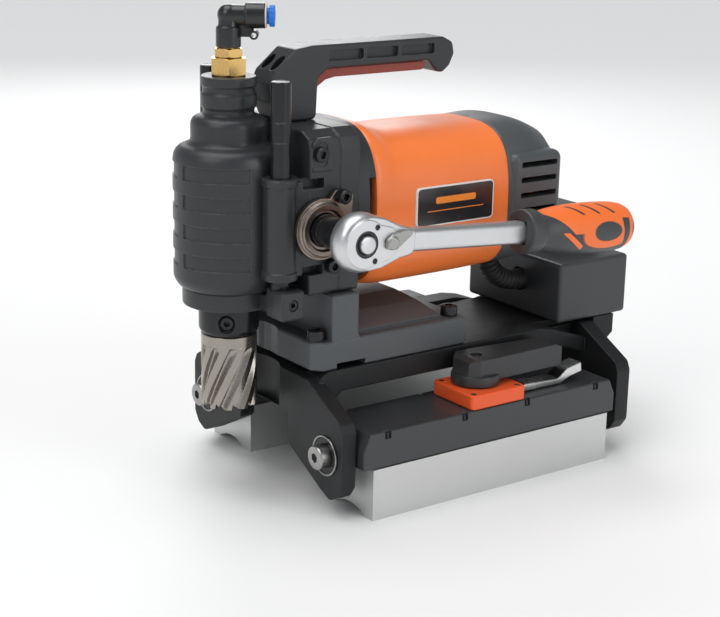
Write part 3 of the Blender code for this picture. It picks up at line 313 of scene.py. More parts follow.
# ---------------------------------------------------------------- materials
class Graph:
    """Short calls for the nodes of one material."""

    def __init__(self, name, slot):
        self.material = bpy.data.materials.new(name)
        self.material.use_nodes = True
        self.material["slot"] = slot
        self.tree = self.material.node_tree
        self.shader = self.tree.nodes["Principled BSDF"]
        self.coords = self.tree.nodes.new("ShaderNodeTexCoord")

    def link(self, source, socket):
        if isinstance(source, (int, float)):
            socket.default_value = source
        elif isinstance(source, (tuple, list)):
            socket.default_value = (*source, 1.0) if len(source) == 3 and socket.type == 'RGBA' else source
        else:
            self.tree.links.new(source, socket)

    def math(self, operation, a, b=0.0, clamp=False):
        node = self.tree.nodes.new("ShaderNodeMath")
        node.operation = operation
        node.use_clamp = clamp
        self.link(a, node.inputs[0])
        self.link(b, node.inputs[1])
        return node.outputs[0]

    def times(self, a, b, clamp=False):
        return self.math('MULTIPLY', a, b, clamp)

    def plus(self, a, b):
        return self.math('ADD', a, b)

    def minus(self, a, b, clamp=False):
        return self.math('SUBTRACT', a, b, clamp)

    def noise(self, scale, detail=3.0, stretch=(1.0, 1.0, 1.0), roughness=0.55):
        mapping = self.tree.nodes.new("ShaderNodeMapping")
        mapping.inputs["Scale"].default_value = stretch
        self.tree.links.new(self.coords.outputs["Object"], mapping.inputs["Vector"])
        node = self.tree.nodes.new("ShaderNodeTexNoise")
        node.inputs["Scale"].default_value = scale
        node.inputs["Detail"].default_value = detail
        node.inputs["Roughness"].default_value = roughness
        self.tree.links.new(mapping.outputs[0], node.inputs["Vector"])
        return node.outputs["Fac"]

    def span(self, value, low_in, high_in, low_out, high_out):
        node = self.tree.nodes.new("ShaderNodeMapRange")
        for socket, number in zip(("From Min", "From Max", "To Min", "To Max"),
                                  (low_in, high_in, low_out, high_out)):
            node.inputs[socket].default_value = number
        self.tree.links.new(value, node.inputs["Value"])
        return node.outputs["Result"]

    def mix(self, factor, a, b):
        node = self.tree.nodes.new("ShaderNodeMix")
        node.data_type = 'RGBA'
        self.link(factor, node.inputs["Factor"])
        self.link(a, node.inputs[6])
        self.link(b, node.inputs[7])
        return node.outputs[2]

    def place(self):
        node = self.tree.nodes.new("ShaderNodeSeparateXYZ")
        self.tree.links.new(self.coords.outputs["Object"], node.inputs[0])
        return node.outputs

    def edges(self, radius):
        """The rounded normal, and how strongly the surface turns near an edge."""
        soft = self.tree.nodes.new("ShaderNodeBevel")
        soft.samples = 4
        soft.inputs["Radius"].default_value = radius
        geometry = self.tree.nodes.new("ShaderNodeNewGeometry")
        dot = self.tree.nodes.new("ShaderNodeVectorMath")
        dot.operation = 'DOT_PRODUCT'
        self.tree.links.new(soft.outputs[0], dot.inputs[0])
        self.tree.links.new(geometry.outputs["Normal"], dot.inputs[1])
        return soft.outputs[0], self.minus(1.0, dot.outputs["Value"])

    def bump(self, height, depth, normal=None):
        node = self.tree.nodes.new("ShaderNodeBump")
        node.inputs["Strength"].default_value = 1.0
        node.inputs["Distance"].default_value = depth
        self.tree.links.new(height, node.inputs["Height"])
        if normal is not None:
            self.tree.links.new(normal, node.inputs["Normal"])
        return node.outputs[0]


def tone(colour, share):
    return tuple(min(1.0, max(0.0, value * share)) for value in colour)


def surface(name, slot, colour, roughness, metallic=0.0, grain=2600.0, depth=0.00002, mottle=0.12,
            wear_and_highlight=None, wear_and_highlight_amount=0.0, edge=0.0006, stretch=(1.0, 1.0, 1.0), coat=0.0, spread=0.07,
            specular=0.5, finish=True):
    """A finish with fine grain, uneven tone and sheen, softened edges, and corners lightened partly as wear
    and partly as a painted highlight.
    """
    graph = Graph(name, slot)
    fine = graph.noise(grain, 2.0, stretch)
    broad = graph.noise(55.0, 4.0)
    spots = graph.noise(420.0, 3.0)
    soft, turn = graph.edges(edge)
    blend = graph.plus(graph.times(broad, 0.65), graph.times(fine, 0.35))
    colour_out = graph.mix(blend, tone(colour, 1.0 - mottle), tone(colour, 1.0 + mottle))
    rough = graph.span(graph.plus(broad, graph.times(fine, 0.5)), 0.45, 1.05,
                       max(0.04, roughness - spread), min(1.0, roughness + spread))
    # Edges are lightened towards this colour in ragged patches: partly real wear, partly a painted highlight
    # along the edges.
    if wear_and_highlight is not None:
        ragged_wear_and_highlight = graph.times(graph.span(turn, 0.02, 0.16, 0.0, 1.0),
                            graph.span(spots, 0.38, 0.66, 0.15, 1.0))
        colour_out = graph.mix(graph.times(ragged_wear_and_highlight, wear_and_highlight_amount, clamp=True), colour_out, wear_and_highlight)
    graph.link(colour_out, graph.shader.inputs["Base Color"])
    graph.link(rough, graph.shader.inputs["Roughness"])
    graph.link(graph.bump(fine, depth, soft), graph.shader.inputs["Normal"])
    graph.shader.inputs["Metallic"].default_value = metallic
    graph.shader.inputs["Coat Weight"].default_value = coat
    graph.shader.inputs["Coat Roughness"].default_value = 0.25
    graph.shader.inputs["Specular IOR Level"].default_value = specular
    return graph.material if finish else graph


CASTING = surface("casting_paint", "dark_grey_paint", (0.030, 0.033, 0.036), 0.34, grain=1500.0,
                  depth=0.00006, wear_and_highlight=(0.22, 0.23, 0.24), wear_and_highlight_amount=0.6, edge=0.0008,
                  specular=0.38)
END_CAP = surface("cap_moulding", "dark_grey_paint", (0.068, 0.074, 0.078), 0.42, grain=1900.0,
                  depth=0.00004, wear_and_highlight=(0.22, 0.23, 0.24), wear_and_highlight_amount=0.4, edge=0.0006)
BASE_PAINT = surface("base_paint", "grey_paint", (0.072, 0.079, 0.085), 0.42, grain=1700.0,
                     depth=0.00005, wear_and_highlight=(0.28, 0.29, 0.30), wear_and_highlight_amount=0.6, edge=0.0006)
SADDLE_PAINT = surface("saddle_paint", "dark_grey_paint", (0.013, 0.014, 0.015), 0.44, grain=3200.0,
                       depth=0.00001, wear_and_highlight=(0.20, 0.21, 0.22), wear_and_highlight_amount=0.5, edge=0.0008,
                       specular=0.28)
BOX_PLASTIC = surface("box_plastic", "dark_grey_paint", (0.040, 0.043, 0.046), 0.42, grain=2400.0,
                      depth=0.00003, wear_and_highlight=(0.12, 0.12, 0.13), wear_and_highlight_amount=0.4, edge=0.0008)
COVER = surface("cover_anodised", "black_anodised", (0.040, 0.043, 0.046), 0.34, grain=4200.0,
                depth=0.00001, wear_and_highlight=(0.24, 0.25, 0.26), wear_and_highlight_amount=0.5, edge=0.0005)
ORANGE = surface("orange_moulding", "orange_plastic", (0.95, 0.215, 0.045), 0.34, grain=2800.0,
                 depth=0.00002, mottle=0.04, wear_and_highlight=(1.0, 0.34, 0.13), wear_and_highlight_amount=0.3, coat=0.15)
RED_ORANGE = surface("red_orange_moulding", "red_orange_plastic", (0.85, 0.105, 0.022), 0.42,
                     grain=2800.0, depth=0.00003, mottle=0.05, wear_and_highlight=(1.0, 0.28, 0.12), wear_and_highlight_amount=0.3)
# Dark brownish red: the insert's orange-red darkened to its look in the shadow under the handle, a painted
# shade.
INSERT_RED_PAINTED_SHADE = surface("insert_red_painted_shade", "red_orange_plastic", (0.27, 0.050, 0.035), 0.60, grain=2200.0,
                     depth=0.00005, mottle=0.10)
BLACK_PLASTIC = surface("black_moulding", "black_plastic", (0.026, 0.028, 0.030), 0.36, grain=2400.0,
                        depth=0.00003, wear_and_highlight=(0.11, 0.11, 0.12), wear_and_highlight_amount=0.4)
BLACK_STEEL = surface("black_oxide", "black_oxide_steel", (0.026, 0.027, 0.029), 0.24, 0.60,
                      grain=900.0, depth=0.00001, wear_and_highlight=(0.30, 0.30, 0.30), wear_and_highlight_amount=0.7,
                      edge=0.0004, stretch=(1.0, 1.0, 6.0))
GROUND = surface("ground_magnet_steel", "ground_steel", (0.82, 0.83, 0.81), 0.46, 0.60, grain=1400.0,
                 depth=0.000008, mottle=0.05, stretch=(8.0, 0.25, 8.0), wear_and_highlight=(0.85, 0.85, 0.85),
                 wear_and_highlight_amount=0.6, edge=0.0004, spread=0.06)
STEEL = surface("tool_steel", "ground_steel", (0.52, 0.50, 0.47), 0.26, 1.0, grain=2400.0,
                depth=0.00001, mottle=0.16, wear_and_highlight=(0.9, 0.88, 0.84), wear_and_highlight_amount=0.7, edge=0.0003,
                spread=0.09)
STAINLESS = surface("stainless", "stainless_steel", (0.66, 0.66, 0.65), 0.24, 1.0, grain=2600.0,
                    depth=0.000006, mottle=0.06, wear_and_highlight=(0.9, 0.9, 0.9), wear_and_highlight_amount=0.6, edge=0.0003)
CHROME = surface("satin_chrome_tool", "satin_chrome", (0.64, 0.65, 0.66), 0.37, 1.0, grain=3600.0,
                 depth=0.000012, mottle=0.03, wear_and_highlight=(0.95, 0.95, 0.96), wear_and_highlight_amount=0.5, edge=0.0006,
                 spread=0.04)
BRASS = surface("machined_brass", "brass", (0.70, 0.46, 0.17), 0.26, 1.0, grain=1600.0,
                depth=0.00001, mottle=0.12, wear_and_highlight=(0.95, 0.75, 0.40), wear_and_highlight_amount=0.7, edge=0.0003)
BRONZE = surface("bronzed_steel", "bronze_steel", (0.25, 0.212, 0.180), 0.30, 0.95, grain=2600.0,
                 depth=0.00001, mottle=0.18, wear_and_highlight=(0.75, 0.70, 0.62), wear_and_highlight_amount=0.7, edge=0.0003)
BLUE = surface("blue_moulding", "blue_plastic", (0.012, 0.165, 0.66), 0.32, grain=2600.0,
               depth=0.00002, mottle=0.06)
PALE = surface("pale_ring", "stainless_steel", (0.62, 0.60, 0.55), 0.40, grain=2600.0,
               depth=0.00001, mottle=0.05)
COPPER = surface("copper_winding", "winding", (0.60, 0.27, 0.12), 0.38, 0.8, grain=1600.0,
                 depth=0.00003, stretch=(1.0, 8.0, 1.0))
RUBBER = surface("corrugated_rubber", "rubber", (0.028, 0.029, 0.031), 0.52, grain=2200.0,
                 depth=0.00003, wear_and_highlight=(0.10, 0.10, 0.10), wear_and_highlight_amount=0.3)
LABEL = surface("label_black", "label_plate", (0.016, 0.016, 0.018), 0.22, grain=3600.0,
                depth=0.000004, mottle=0.05, coat=0.5)
LABEL_PALE = surface("label_pale", "label_plate", (0.78, 0.78, 0.76), 0.35, grain=3600.0,
                     depth=0.000004, mottle=0.03)
LABEL_ORANGE = surface("label_orange", "label_plate", (0.90, 0.26, 0.03), 0.35, grain=3600.0,
                       depth=0.000004, mottle=0.03)

CUTTER_STEEL = surface("cutter_steel", "ground_steel", (0.34, 0.315, 0.285), 0.27, 1.0, grain=1800.0,
                       depth=0.00001, mottle=0.22, stretch=(1.0, 1.0, 0.4), wear_and_highlight=(0.92, 0.89, 0.84),
                       wear_and_highlight_amount=0.8, edge=0.0003, spread=0.10)
DARK_CHROME = surface("worn_chrome", "stainless_steel", (0.36, 0.36, 0.35), 0.30, 1.0, grain=2600.0,
                      depth=0.00002, mottle=0.12, wear_and_highlight=(0.80, 0.80, 0.79), wear_and_highlight_amount=0.9, edge=0.0005)
ELBOW_BLACK = surface("gloss_black_moulding", "black_plastic", (0.016, 0.017, 0.018), 0.24,
                      grain=2200.0, depth=0.00002, wear_and_highlight=(0.10, 0.10, 0.10), wear_and_highlight_amount=0.3)


def grip_material():
    """Two-shot grip: dark rubber with an orange crown, three slashes and a ringed oval pad."""
    graph = surface("two_shot_grip", "orange_plastic", (0.9, 0.175, 0.03), 0.40, grain=2400.0,
                    depth=0.00003, mottle=0.05, finish=False)
    orange = graph.shader.inputs["Base Color"].links[0].from_socket
    mapping = graph.tree.nodes.new("ShaderNodeMapping")
    axis = FEED + SHIFT
    turn = Matrix.Rotation(WRENCH_TILT, 3, 'X')
    mapping.inputs["Rotation"].default_value = (WRENCH_TILT, 0.0, 0.0)
    mapping.inputs["Location"].default_value = -(turn @ Vector((WRENCH.x + SHIFT.x, axis.y, axis.z)))
    graph.tree.links.new(graph.coords.outputs["Object"], mapping.inputs["Vector"])
    split = graph.tree.nodes.new("ShaderNodeSeparateXYZ")
    graph.tree.links.new(mapping.outputs[0], split.inputs[0])
    along = graph.minus(graph.times(split.outputs[1], 1000.0), 115.0)
    aside = graph.math('ABSOLUTE', split.outputs[0])
    around = graph.times(graph.math('ARCTAN2', split.outputs[2], aside), 15.0)

    def oval(u0, v0, a, b):
        du = graph.math('DIVIDE', graph.minus(along, u0), a)
        dv = graph.math('DIVIDE', graph.minus(around, v0), b)
        square = graph.plus(graph.times(du, du), graph.times(dv, dv))
        return graph.times(graph.minus(1.0, square), 6.0, clamp=True)

    def above(value, edge):
        return graph.times(graph.minus(value, edge), 3.0, clamp=True)

    def below(value, edge):
        return graph.times(graph.minus(edge, value), 3.0, clamp=True)

    def without(a, b):
        return graph.times(a, graph.minus(1.0, b, clamp=True))

    slope = graph.plus(along, graph.times(around, 1.05))
    crown = graph.times(above(slope, 31.0), above(around, -0.5))
    ring = oval(58.0, -1.0, 21.0, 10.5)
    tail_line = graph.plus(around, graph.times(graph.minus(along, 24.0), 0.72))
    tail = graph.times(graph.times(above(tail_line, -1.0), below(tail_line, 3.2)),
                       graph.times(above(along, 23.0), below(along, 40.0)))
    tail = graph.times(tail, below(around, 1.0))
    mask = graph.math('MAXIMUM', graph.math('MAXIMUM', crown, ring), tail)
    mask = without(mask, oval(57.5, 0.5, 11.5, 6.2))
    for start in (35.5, 47.5, 59.5):
        offset = graph.plus(along, graph.times(graph.minus(around, 16.5), 1.0))
        strip = below(graph.math('ABSOLUTE', graph.minus(offset, start)), 1.3)
        strip = graph.times(strip, graph.times(above(around, 11.5), below(around, 21.0)))
        mask = without(mask, strip)
    crescent = graph.times(above(graph.minus(along, graph.times(around, -0.15)), 70.5),
                           below(around, 8.5))
    mask = without(mask, crescent)
    mask = graph.math('MAXIMUM', mask, graph.times(above(along, 75.5), above(around, -14.0)))
    mask = without(mask, oval(82.0, 0.0, 3.2, 7.0))
    mask = graph.times(mask, above(along, 12.5))
    blend = graph.mix(mask, (0.042, 0.045, 0.048), orange)
    graph.link(blend, graph.shader.inputs["Base Color"])
    step = graph.bump(mask, 0.0004, graph.shader.inputs["Normal"].links[0].from_socket)
    graph.link(step, graph.shader.inputs["Normal"])
    return graph.material


GRIP = grip_material()


def magnet_material():
    """Ground block whose end faces show the fine upright ridges of the stacked poles."""
    graph = surface("ground_magnet_block", "ground_steel", (0.62, 0.63, 0.62), 0.36, 0.8, grain=1400.0,
                    depth=0.000008, mottle=0.05, stretch=(8.0, 0.25, 8.0), wear_and_highlight=(0.85, 0.85, 0.85),
                    wear_and_highlight_amount=0.6, edge=0.0004, spread=0.06, finish=False)
    facing = graph.tree.nodes.new("ShaderNodeSeparateXYZ")
    graph.tree.links.new(graph.coords.outputs["Normal"], facing.inputs[0])
    end_face = graph.math('GREATER_THAN', graph.math('ABSOLUTE', facing.outputs[1]), 0.7)
    place = graph.place()
    wave = graph.math('SINE', graph.times(place[0], math.tau / 0.0042))
    ridge = graph.times(graph.math('POWER', graph.math('ABSOLUTE', wave), 0.4), end_face)
    normal = graph.shader.inputs["Normal"].links[0].from_socket
    graph.tree.links.new(graph.bump(ridge, 0.00035, normal), graph.shader.inputs["Normal"])
    return graph.material


GROUND_RIDGED = magnet_material()

KEPT = {
    "saddle_frame": SADDLE_PAINT, "base_casting": BASE_PAINT, "handle_insert": INSERT_RED_PAINTED_SHADE,
    "control_box": BOX_PLASTIC, "box_floor": BASE_PAINT, "box_bracket": SADDLE_PAINT,
    "magnet": GROUND_RIDGED, "magnet_cover": COVER, "switch_base": RED_ORANGE, "latch": STAINLESS,
    "motor_stator": GROUND, "armature": COPPER, "quill_sleeve": STEEL, "pilot_pin": STAINLESS,
    "brass_adapter": BRASS, "brass_nut": BRASS, "button_stop": RED_ORANGE, "button_start": BLUE,
    "feed_yoke": CASTING, "gear_housing": CASTING, "motor_housing": ORANGE, "motor_end_cap": END_CAP,
    "carry_handle": CASTING, "nameplate": LABEL, "motor_conduit": RUBBER, "feed_flange": BRONZE,
    "annular_cutter": STEEL, "wrench_head": CHROME, "wrench_grip": ORANGE, "release_button": CHROME,
    "reverse_lever": STAINLESS, "elbow_body": BLACK_PLASTIC, "collet": BLUE,
    "switch_lever": BLACK_PLASTIC, "pivot_bolt_front": STAINLESS, "pivot_bolt_rear": STAINLESS,
}


def dress_nodes():
    """Give every CAD node its material; a pair shares one, and what is not listed is black steel."""
    for name, node in frame["nodes"].items():
        stem = name.removesuffix("_right").removesuffix("_left")
        node.data.materials.clear()
        node.data.materials.append(KEPT.get(stem, BLACK_STEEL))


# ---------------------------------------------------------------- outlines and screws
def fillet(outline, radius, count=5):
    """Round every corner of an outline."""
    points = []
    for i, (u, v) in enumerate(outline):
        here = Vector((u, v))
        before = Vector(outline[i - 1]) - here
        after = Vector(outline[(i + 1) % len(outline)]) - here
        angle = max(0.05, before.angle(after))
        reach = min(radius / math.tan(angle / 2), before.length * 0.45, after.length * 0.45)
        a = here + before.normalized() * reach
        b = here + after.normalized() * reach
        for k in range(count + 1):
            t = k / count
            points.append(tuple(a * (1 - t) ** 2 + here * (2 * t * (1 - t)) + b * t ** 2))
    return points


def socket_screw(centre, way, radius, height, shank, length):
    """A socket-head screw with a rounded rim; centre is the underside of its head."""
    origin = Vector(centre)
    out = Vector(way).normalized()
    head = turned([(0.0, height), (radius * 0.84, height), (radius * 0.96, height * 0.94),
                   (radius, height * 0.84), (radius, 0.0), (0.0, 0.0)], steps=48)
    stem = upright(-length, height * 0.4, shank, 24)
    hole = upright(height * 0.42, height * 1.5, radius * SCREW_HEX_SHARE, 6)
    body = cut(join(head, stem), hole)
    turn = Vector((0, 0, 1)).rotation_difference(out).to_matrix().to_4x4()
    return moved(body, Matrix.Translation(origin) @ turn)


# ---------------------------------------------------------------- gear housing
def squircle(y, half, up, down, exponent, count):
    """One rounded-square ring about the motor's axis."""
    points = []
    for i in range(count):
        angle = math.tau * i / count
        c = math.cos(angle)
        s = math.sin(angle)
        u = math.copysign(abs(c) ** (2 / exponent), c) * half
        v = math.copysign(abs(s) ** (2 / exponent), s) * (up if s > 0 else down)
        points.append((u, y, MOTOR.z + v))
    return points


def loft(sections, count=144, steps=6, exponent=3.1):
    """A smooth body through rounded squares, each (y, half width, up, down)."""
    fine = []
    for i in range(len(sections) - 1):
        before = sections[max(0, i - 1)]
        a = sections[i]
        b = sections[i + 1]
        after = sections[min(len(sections) - 1, i + 2)]
        for k in range(steps):
            t = k / steps
            row = []
            for p, q, r, s in zip(before, a, b, after):
                row.append(0.5 * (2 * q + (r - p) * t + (2 * p - 5 * q + 4 * r - s) * t ** 2
                                  + (3 * q - p - 3 * r + s) * t ** 3))
            row[0] = a[0] + (b[0] - a[0]) * t
            fine.append(row)
    fine.append(sections[-1])
    bm = bmesh.new()
    rings = [[bm.verts.new(p) for p in squircle(*row, exponent, count)] for row in fine]
    return skin("loft", bm, rings)


def barrel():
    """Barrel, stepped dome and ringed neck, with rows of shallow recessed pads."""
    top = NECK_TOP
    r = BARREL_RADIUS
    profile = [(0.0, top), (0.0148, top), (0.0154, top - 0.0003), (0.0157, top - 0.0009)]
    profile += [(0.0157, 0.2413), (0.0155, 0.2407), (0.0148, 0.2401), (0.0146, 0.2395)]
    profile += [(0.0146, 0.2373), (0.0148, 0.2367), (0.0155, 0.2361), (0.0157, 0.2355)]
    profile += [(0.0157, 0.2298), (0.0154, 0.2288), (0.0147, 0.2280), (0.0144, 0.2270)]
    profile += [(0.0144, 0.2256), (0.0149, 0.2248), (0.0166, 0.2241), (0.0187, 0.2233)]
    profile += [(0.0202, 0.2222), (0.0211, 0.2207), (0.0215, 0.2188), (0.0215, 0.2118)]
    profile += [(0.0217, 0.2102), (0.0224, 0.2089), (0.0238, 0.2080), (0.0262, 0.2073)]
    profile += [(0.0283, 0.2063), (0.0300, 0.2046), (0.0311, 0.2022), (r, 0.1990), (r, 0.1975)]
    profile += [(r, 0.1340), (0.0314, 0.1322), (0.0307, 0.1302), (0.0296, 0.1284)]
    profile += [(0.0282, 0.1268), (0.0, 0.1268)]
    body = turned(profile, steps=128)
    pads = []
    for z in (0.1446, 0.1612, 0.1780, 0.1945):
        for side in (1.0, -1.0):
            angles = [math.radians(5.0 + 76.0 * i / 30) for i in range(31)]
            outer = [(side * math.sin(a) * (r + 0.004), -math.cos(a) * (r + 0.004)) for a in angles]
            inner = [(side * math.sin(a) * (r - 0.0008), -math.cos(a) * (r - 0.0008)) for a in angles]
            pads.append(plate(outer + inner[::-1], 'Z', z - 0.0042, z + 0.0042))
    return cut(body, merge(*pads))


def gear_housing():
    body = barrel()
    shoulder = fillet([(0.0448, 0.1250), (0.0450, 0.2075), (0.0425, 0.2142), (0.0350, 0.2180),
                       (-0.0350, 0.2180), (-0.0425, 0.2142), (-0.0450, 0.2075), (-0.0448, 0.1250)],
                      0.0025)
    main = plate(shoulder, 'Y', 0.0250, 0.0455, 0.0012)
    second = plate([(u * 1.012, v + (0.0004 if v > 0.2 else 0.0)) for u, v in shoulder], 'Y',
                   0.0450, 0.0590, 0.0012)
    flange = loft([(0.0576, 0.0462, 0.0545, 0.0390),
                   (FRONT_OF_MOTOR - 0.0003, 0.0462, 0.0545, 0.0390)], steps=1)
    flange = bevel(flange, 0.0008, 2, 50.0)
    body = join(body, main, second, flange)
    for side in (1.0, -1.0):
        boss = turned([(0.0, 0.1936), (0.0084, 0.1936), (0.0095, 0.1933), (0.0100, 0.1926),
                       (0.0100, 0.1899), (0.0098, 0.1892), (0.0092, 0.1887), (0.0092, 0.1410),
                       (0.0099, 0.1403), (0.0100, 0.1397), (0.0100, 0.1368), (0.0097, 0.1360),
                       (0.0, 0.1360)], (side * ROD.x, ROD.y, 0.0), steps=64)
        rib = block(*both(side, 0.0220, 0.0445), 0.0100, 0.0300, 0.1376, 0.1915, 0.0014)
        pad = plate(fillet([(0.0262, 0.1960), (0.0262, 0.2118), (0.0292, 0.2150), (0.0405, 0.2150),
                            (0.0405, 0.1960)], 0.0020), 'X', *both(side, 0.0430, 0.0458), 0.0006)
        body = join(body, boss, rib, pad)
    tools = []
    for side in (1.0, -1.0):
        for z0, z1 in ((0.1868, 0.1925), (0.1372, 0.1430)):
            tools.append(block(*both(side, 0.0375, 0.0500), 0.0205, 0.0345, z0, z1, 0.0006, 2))
        tools.append(block(*both(side, 0.0400, 0.0600), 0.0655, 0.0760, 0.1620, 0.1890, 0.0006, 2))
        pocket = [(0.0255, 0.1985), (0.0255, 0.2095), (0.0280, 0.2125), (0.0345, 0.2125),
                  (0.0362, 0.2100), (0.0362, 0.2010), (0.0340, 0.1985)]
        tools.append(plate(fillet(pocket, 0.0015), 'X', *both(side, 0.0452, 0.0500)))
        tools.append(rod((side * ROD.x, ROD.y, 0.11), (side * ROD.x, ROD.y, 0.21),
                         ROD_RADIUS + 0.0003, 48))
    tools.append(turned([(0.0, 0.2020), (0.0226, 0.2020), (0.0226, 0.10), (0.0, 0.10)], steps=64))
    tools.append(upright(0.2000, 0.2600, 0.0062, 32))
    tools.append(rod((0, 0.0400, MOTOR.z), (0, 0.0900, MOTOR.z), 0.0075, 32))
    tools.append(rod((-0.07, FEED.y, FEED.z), (0.07, FEED.y, FEED.z), 0.0078, 48))
    tools.append(upright(0.1200, 0.1267, 0.0273, 64))
    piece("gear_housing_casting", cut(body, *tools), CASTING, "chassis", ["gear_housing"])


def feed_flange():
    """Bearing plate of the feed shaft with its turned, stepped collar."""
    x0 = low("feed_flange").x
    outline = arc(FEED.y, FEED.z, 0.0175, 75, 345, 60)
    outline += fillet([(FEED.y + 0.0195, FEED.z + 0.0060), (FEED.y + 0.0203, FEED.z + 0.0175),
                       (FEED.y + 0.0150, FEED.z + 0.0210), (FEED.y + 0.0070, FEED.z + 0.0215)],
                      0.0012)[3:-3]
    body = plate(outline, 'X', x0, x0 + 0.0030, 0.0004, 2)
    collar = turned([(0.0, x0 + 0.0040), (0.0112, x0 + 0.0040), (0.0122, x0 + 0.0060),
                     (0.0146, x0 + 0.0062), (0.0152, x0 + 0.0056), (0.0152, x0 + 0.0044),
                     (0.0163, x0 + 0.0038), (0.0166, x0 + 0.0010), (0.0, x0 + 0.0010)],
                    (0, FEED.y, FEED.z), 'X')
    body = join(body, collar)
    body = cut(body, rod((x0 - 0.01, FEED.y, FEED.z), (x0 + 0.02, FEED.y, FEED.z), 0.0098, 64))
    piece("feed_bearing_plate", body, BRONZE, "chassis", ["feed_flange"])
    shaft = turned([(0.0, WRENCH_IN - 0.0003), (0.0082, WRENCH_IN - 0.0003),
                    (0.0090, WRENCH_IN - 0.0010), (0.0092, WRENCH_IN - 0.0020), (0.0092, 0.0560),
                    (0.0088, 0.0552), (0.0092, 0.0544), (0.0092, 0.0462), (0.0072, 0.0460),
                    (0.0072, -0.0435), (0.0, -0.0435)], (0, FEED.y, FEED.z), 'X', 64)
    piece("feed_shaft_turned", shaft, BLACK_STEEL, "feed_pinion", ["feed_shaft"])


def fixed_screws():
    """Socket screws on the base, the flange and the housing's shoulders."""
    for node in frame["nodes"]:
        if node.startswith("base_screw"):
            centre = middle(node)
            place = (centre.x, centre.y, high(node).z - 0.0060)
            screw = socket_screw(place, (0, 0, 1), 0.0052, 0.0060, 0.0033, 0.0095)
            piece(node + "_fine", screw, BLACK_STEEL, "chassis", [node])
    for node in ("feed_screw_upper", "feed_screw_lower"):
        centre = middle(node)
        screw = socket_screw((high(node).x - 0.0045, centre.y, centre.z), (1, 0, 0),
                             0.0042, 0.0045, 0.0022, 0.0002)
        piece(node + "_fine", screw, BLACK_STEEL, "chassis", [node])
    for side, label in SIDES:
        node = "housing_screw_" + label
        centre = middle(node)
        screw = socket_screw((side * 0.0453, centre.y, centre.z), (side, 0, 0),
                             0.0043, 0.0036, 0.0020, 0.0001)
        piece(node + "_fine", screw, BLACK_STEEL, "chassis", [node])


# ---------------------------------------------------------------- quill and spindle
def quill():
    bottom = 0.1157
    top = 0.1264
    ring = turned([(0.0, top), (0.0256, top), (0.0264, top - 0.0004), (0.0267, top - 0.0012),
                   (0.0267, bottom + 0.0012), (0.0264, bottom + 0.0004), (0.0256, bottom),
                   (0.0, bottom)], steps=128)
    for side in (1.0, -1.0):
        arm = block(*both(side, 0.0180, 0.0470), 0.0051, 0.0179, bottom + 0.0005, top - 0.0009, 0.0008)
        clamp = block(*both(side, 0.0325, 0.0500), 0.0040, 0.0190, 0.1142, 0.1310, 0.0016, 4)
        ring = join(ring, arm, clamp)
    tools = [upright(0.10, 0.14, 0.0223, 96)]
    for side in (1.0, -1.0):
        x = side * ROD.x
        tools.append(rod((x, ROD.y, 0.10), (x, ROD.y, 0.14), ROD_RADIUS + 0.0003, 48))
        tools.append(rod((side * 0.0440, ROD.y + 0.0012, 0.1230),
                         (side * 0.0600, ROD.y + 0.0012, 0.1230), 0.0034, 32))
    piece("feed_yoke_casting", cut(ring, *tools), CASTING, "quill", ["feed_yoke"])
    for side, label in SIDES:
        node = "guide_rod_" + label
        z0 = low(node).z
        z1 = high(node).z
        r = ROD_RADIUS
        profile = [(0.0, z1), (r - 0.0014, z1), (r - 0.0004, z1 - 0.0004), (r, z1 - 0.0013)]
        for drop in (0.0220, 0.0330):
            profile += [(r, z1 - drop), (r - 0.00015, z1 - drop - 0.0001),
                        (r - 0.00015, z1 - drop - 0.0004), (r, z1 - drop - 0.0005)]
        profile += [(r, z0), (0.0, z0)]
        piece(node + "_fine", turned(profile, (side * ROD.x, ROD.y, 0), steps=64), BLACK_STEEL,
              "quill", [node])
        grub = rod((side * 0.0443, ROD.y + 0.0012, 0.1230), (side * 0.0494, ROD.y + 0.0012, 0.1230),
                   0.0031, 32, 0.0003)
        grub = cut(grub, rod((side * 0.0470, ROD.y + 0.0012, 0.1230),
                             (side * 0.0600, ROD.y + 0.0012, 0.1230), 0.0017, 6))
        piece("yoke_screw_%s_fine" % label, grub, BLACK_STEEL, "quill", ["yoke_screw_" + label])


def fluted_wall(layers=40):
    """The cutter's wall: lands and rounded gullets wound about the axis."""
    top = 0.0915
    shape = [(0.00, 0.0), (0.10, 0.0), (0.22, 0.0), (0.34, 0.0), (0.44, 0.0), (0.470, -0.0006),
             (0.485, -0.0019), (0.52, -0.0024), (0.60, -0.0026), (0.70, -0.0024),
             (0.80, -0.0018), (0.88, -0.0011), (0.95, -0.0004)]
    bm = bmesh.new()
    rings = []
    for layer in range(layers + 1):
        share = layer / layers
        fade = min(1.0, max(0.0, (1.0 - share) / 0.13))
        ring = []
        for i in range(FLUTES):
            for part_turn, depth in shape:
                angle = math.tau * (i + part_turn) / FLUTES + FLUTE_TWIST * share
                radius = CUTTER_RADIUS + depth * (fade ** 0.5)
                ring.append(bm.verts.new((radius * math.cos(angle), radius * math.sin(angle),
                                          CUTTER_BOTTOM + (top - CUTTER_BOTTOM) * share)))
        rings.append(ring)
    return skin("flutes", bm, rings)


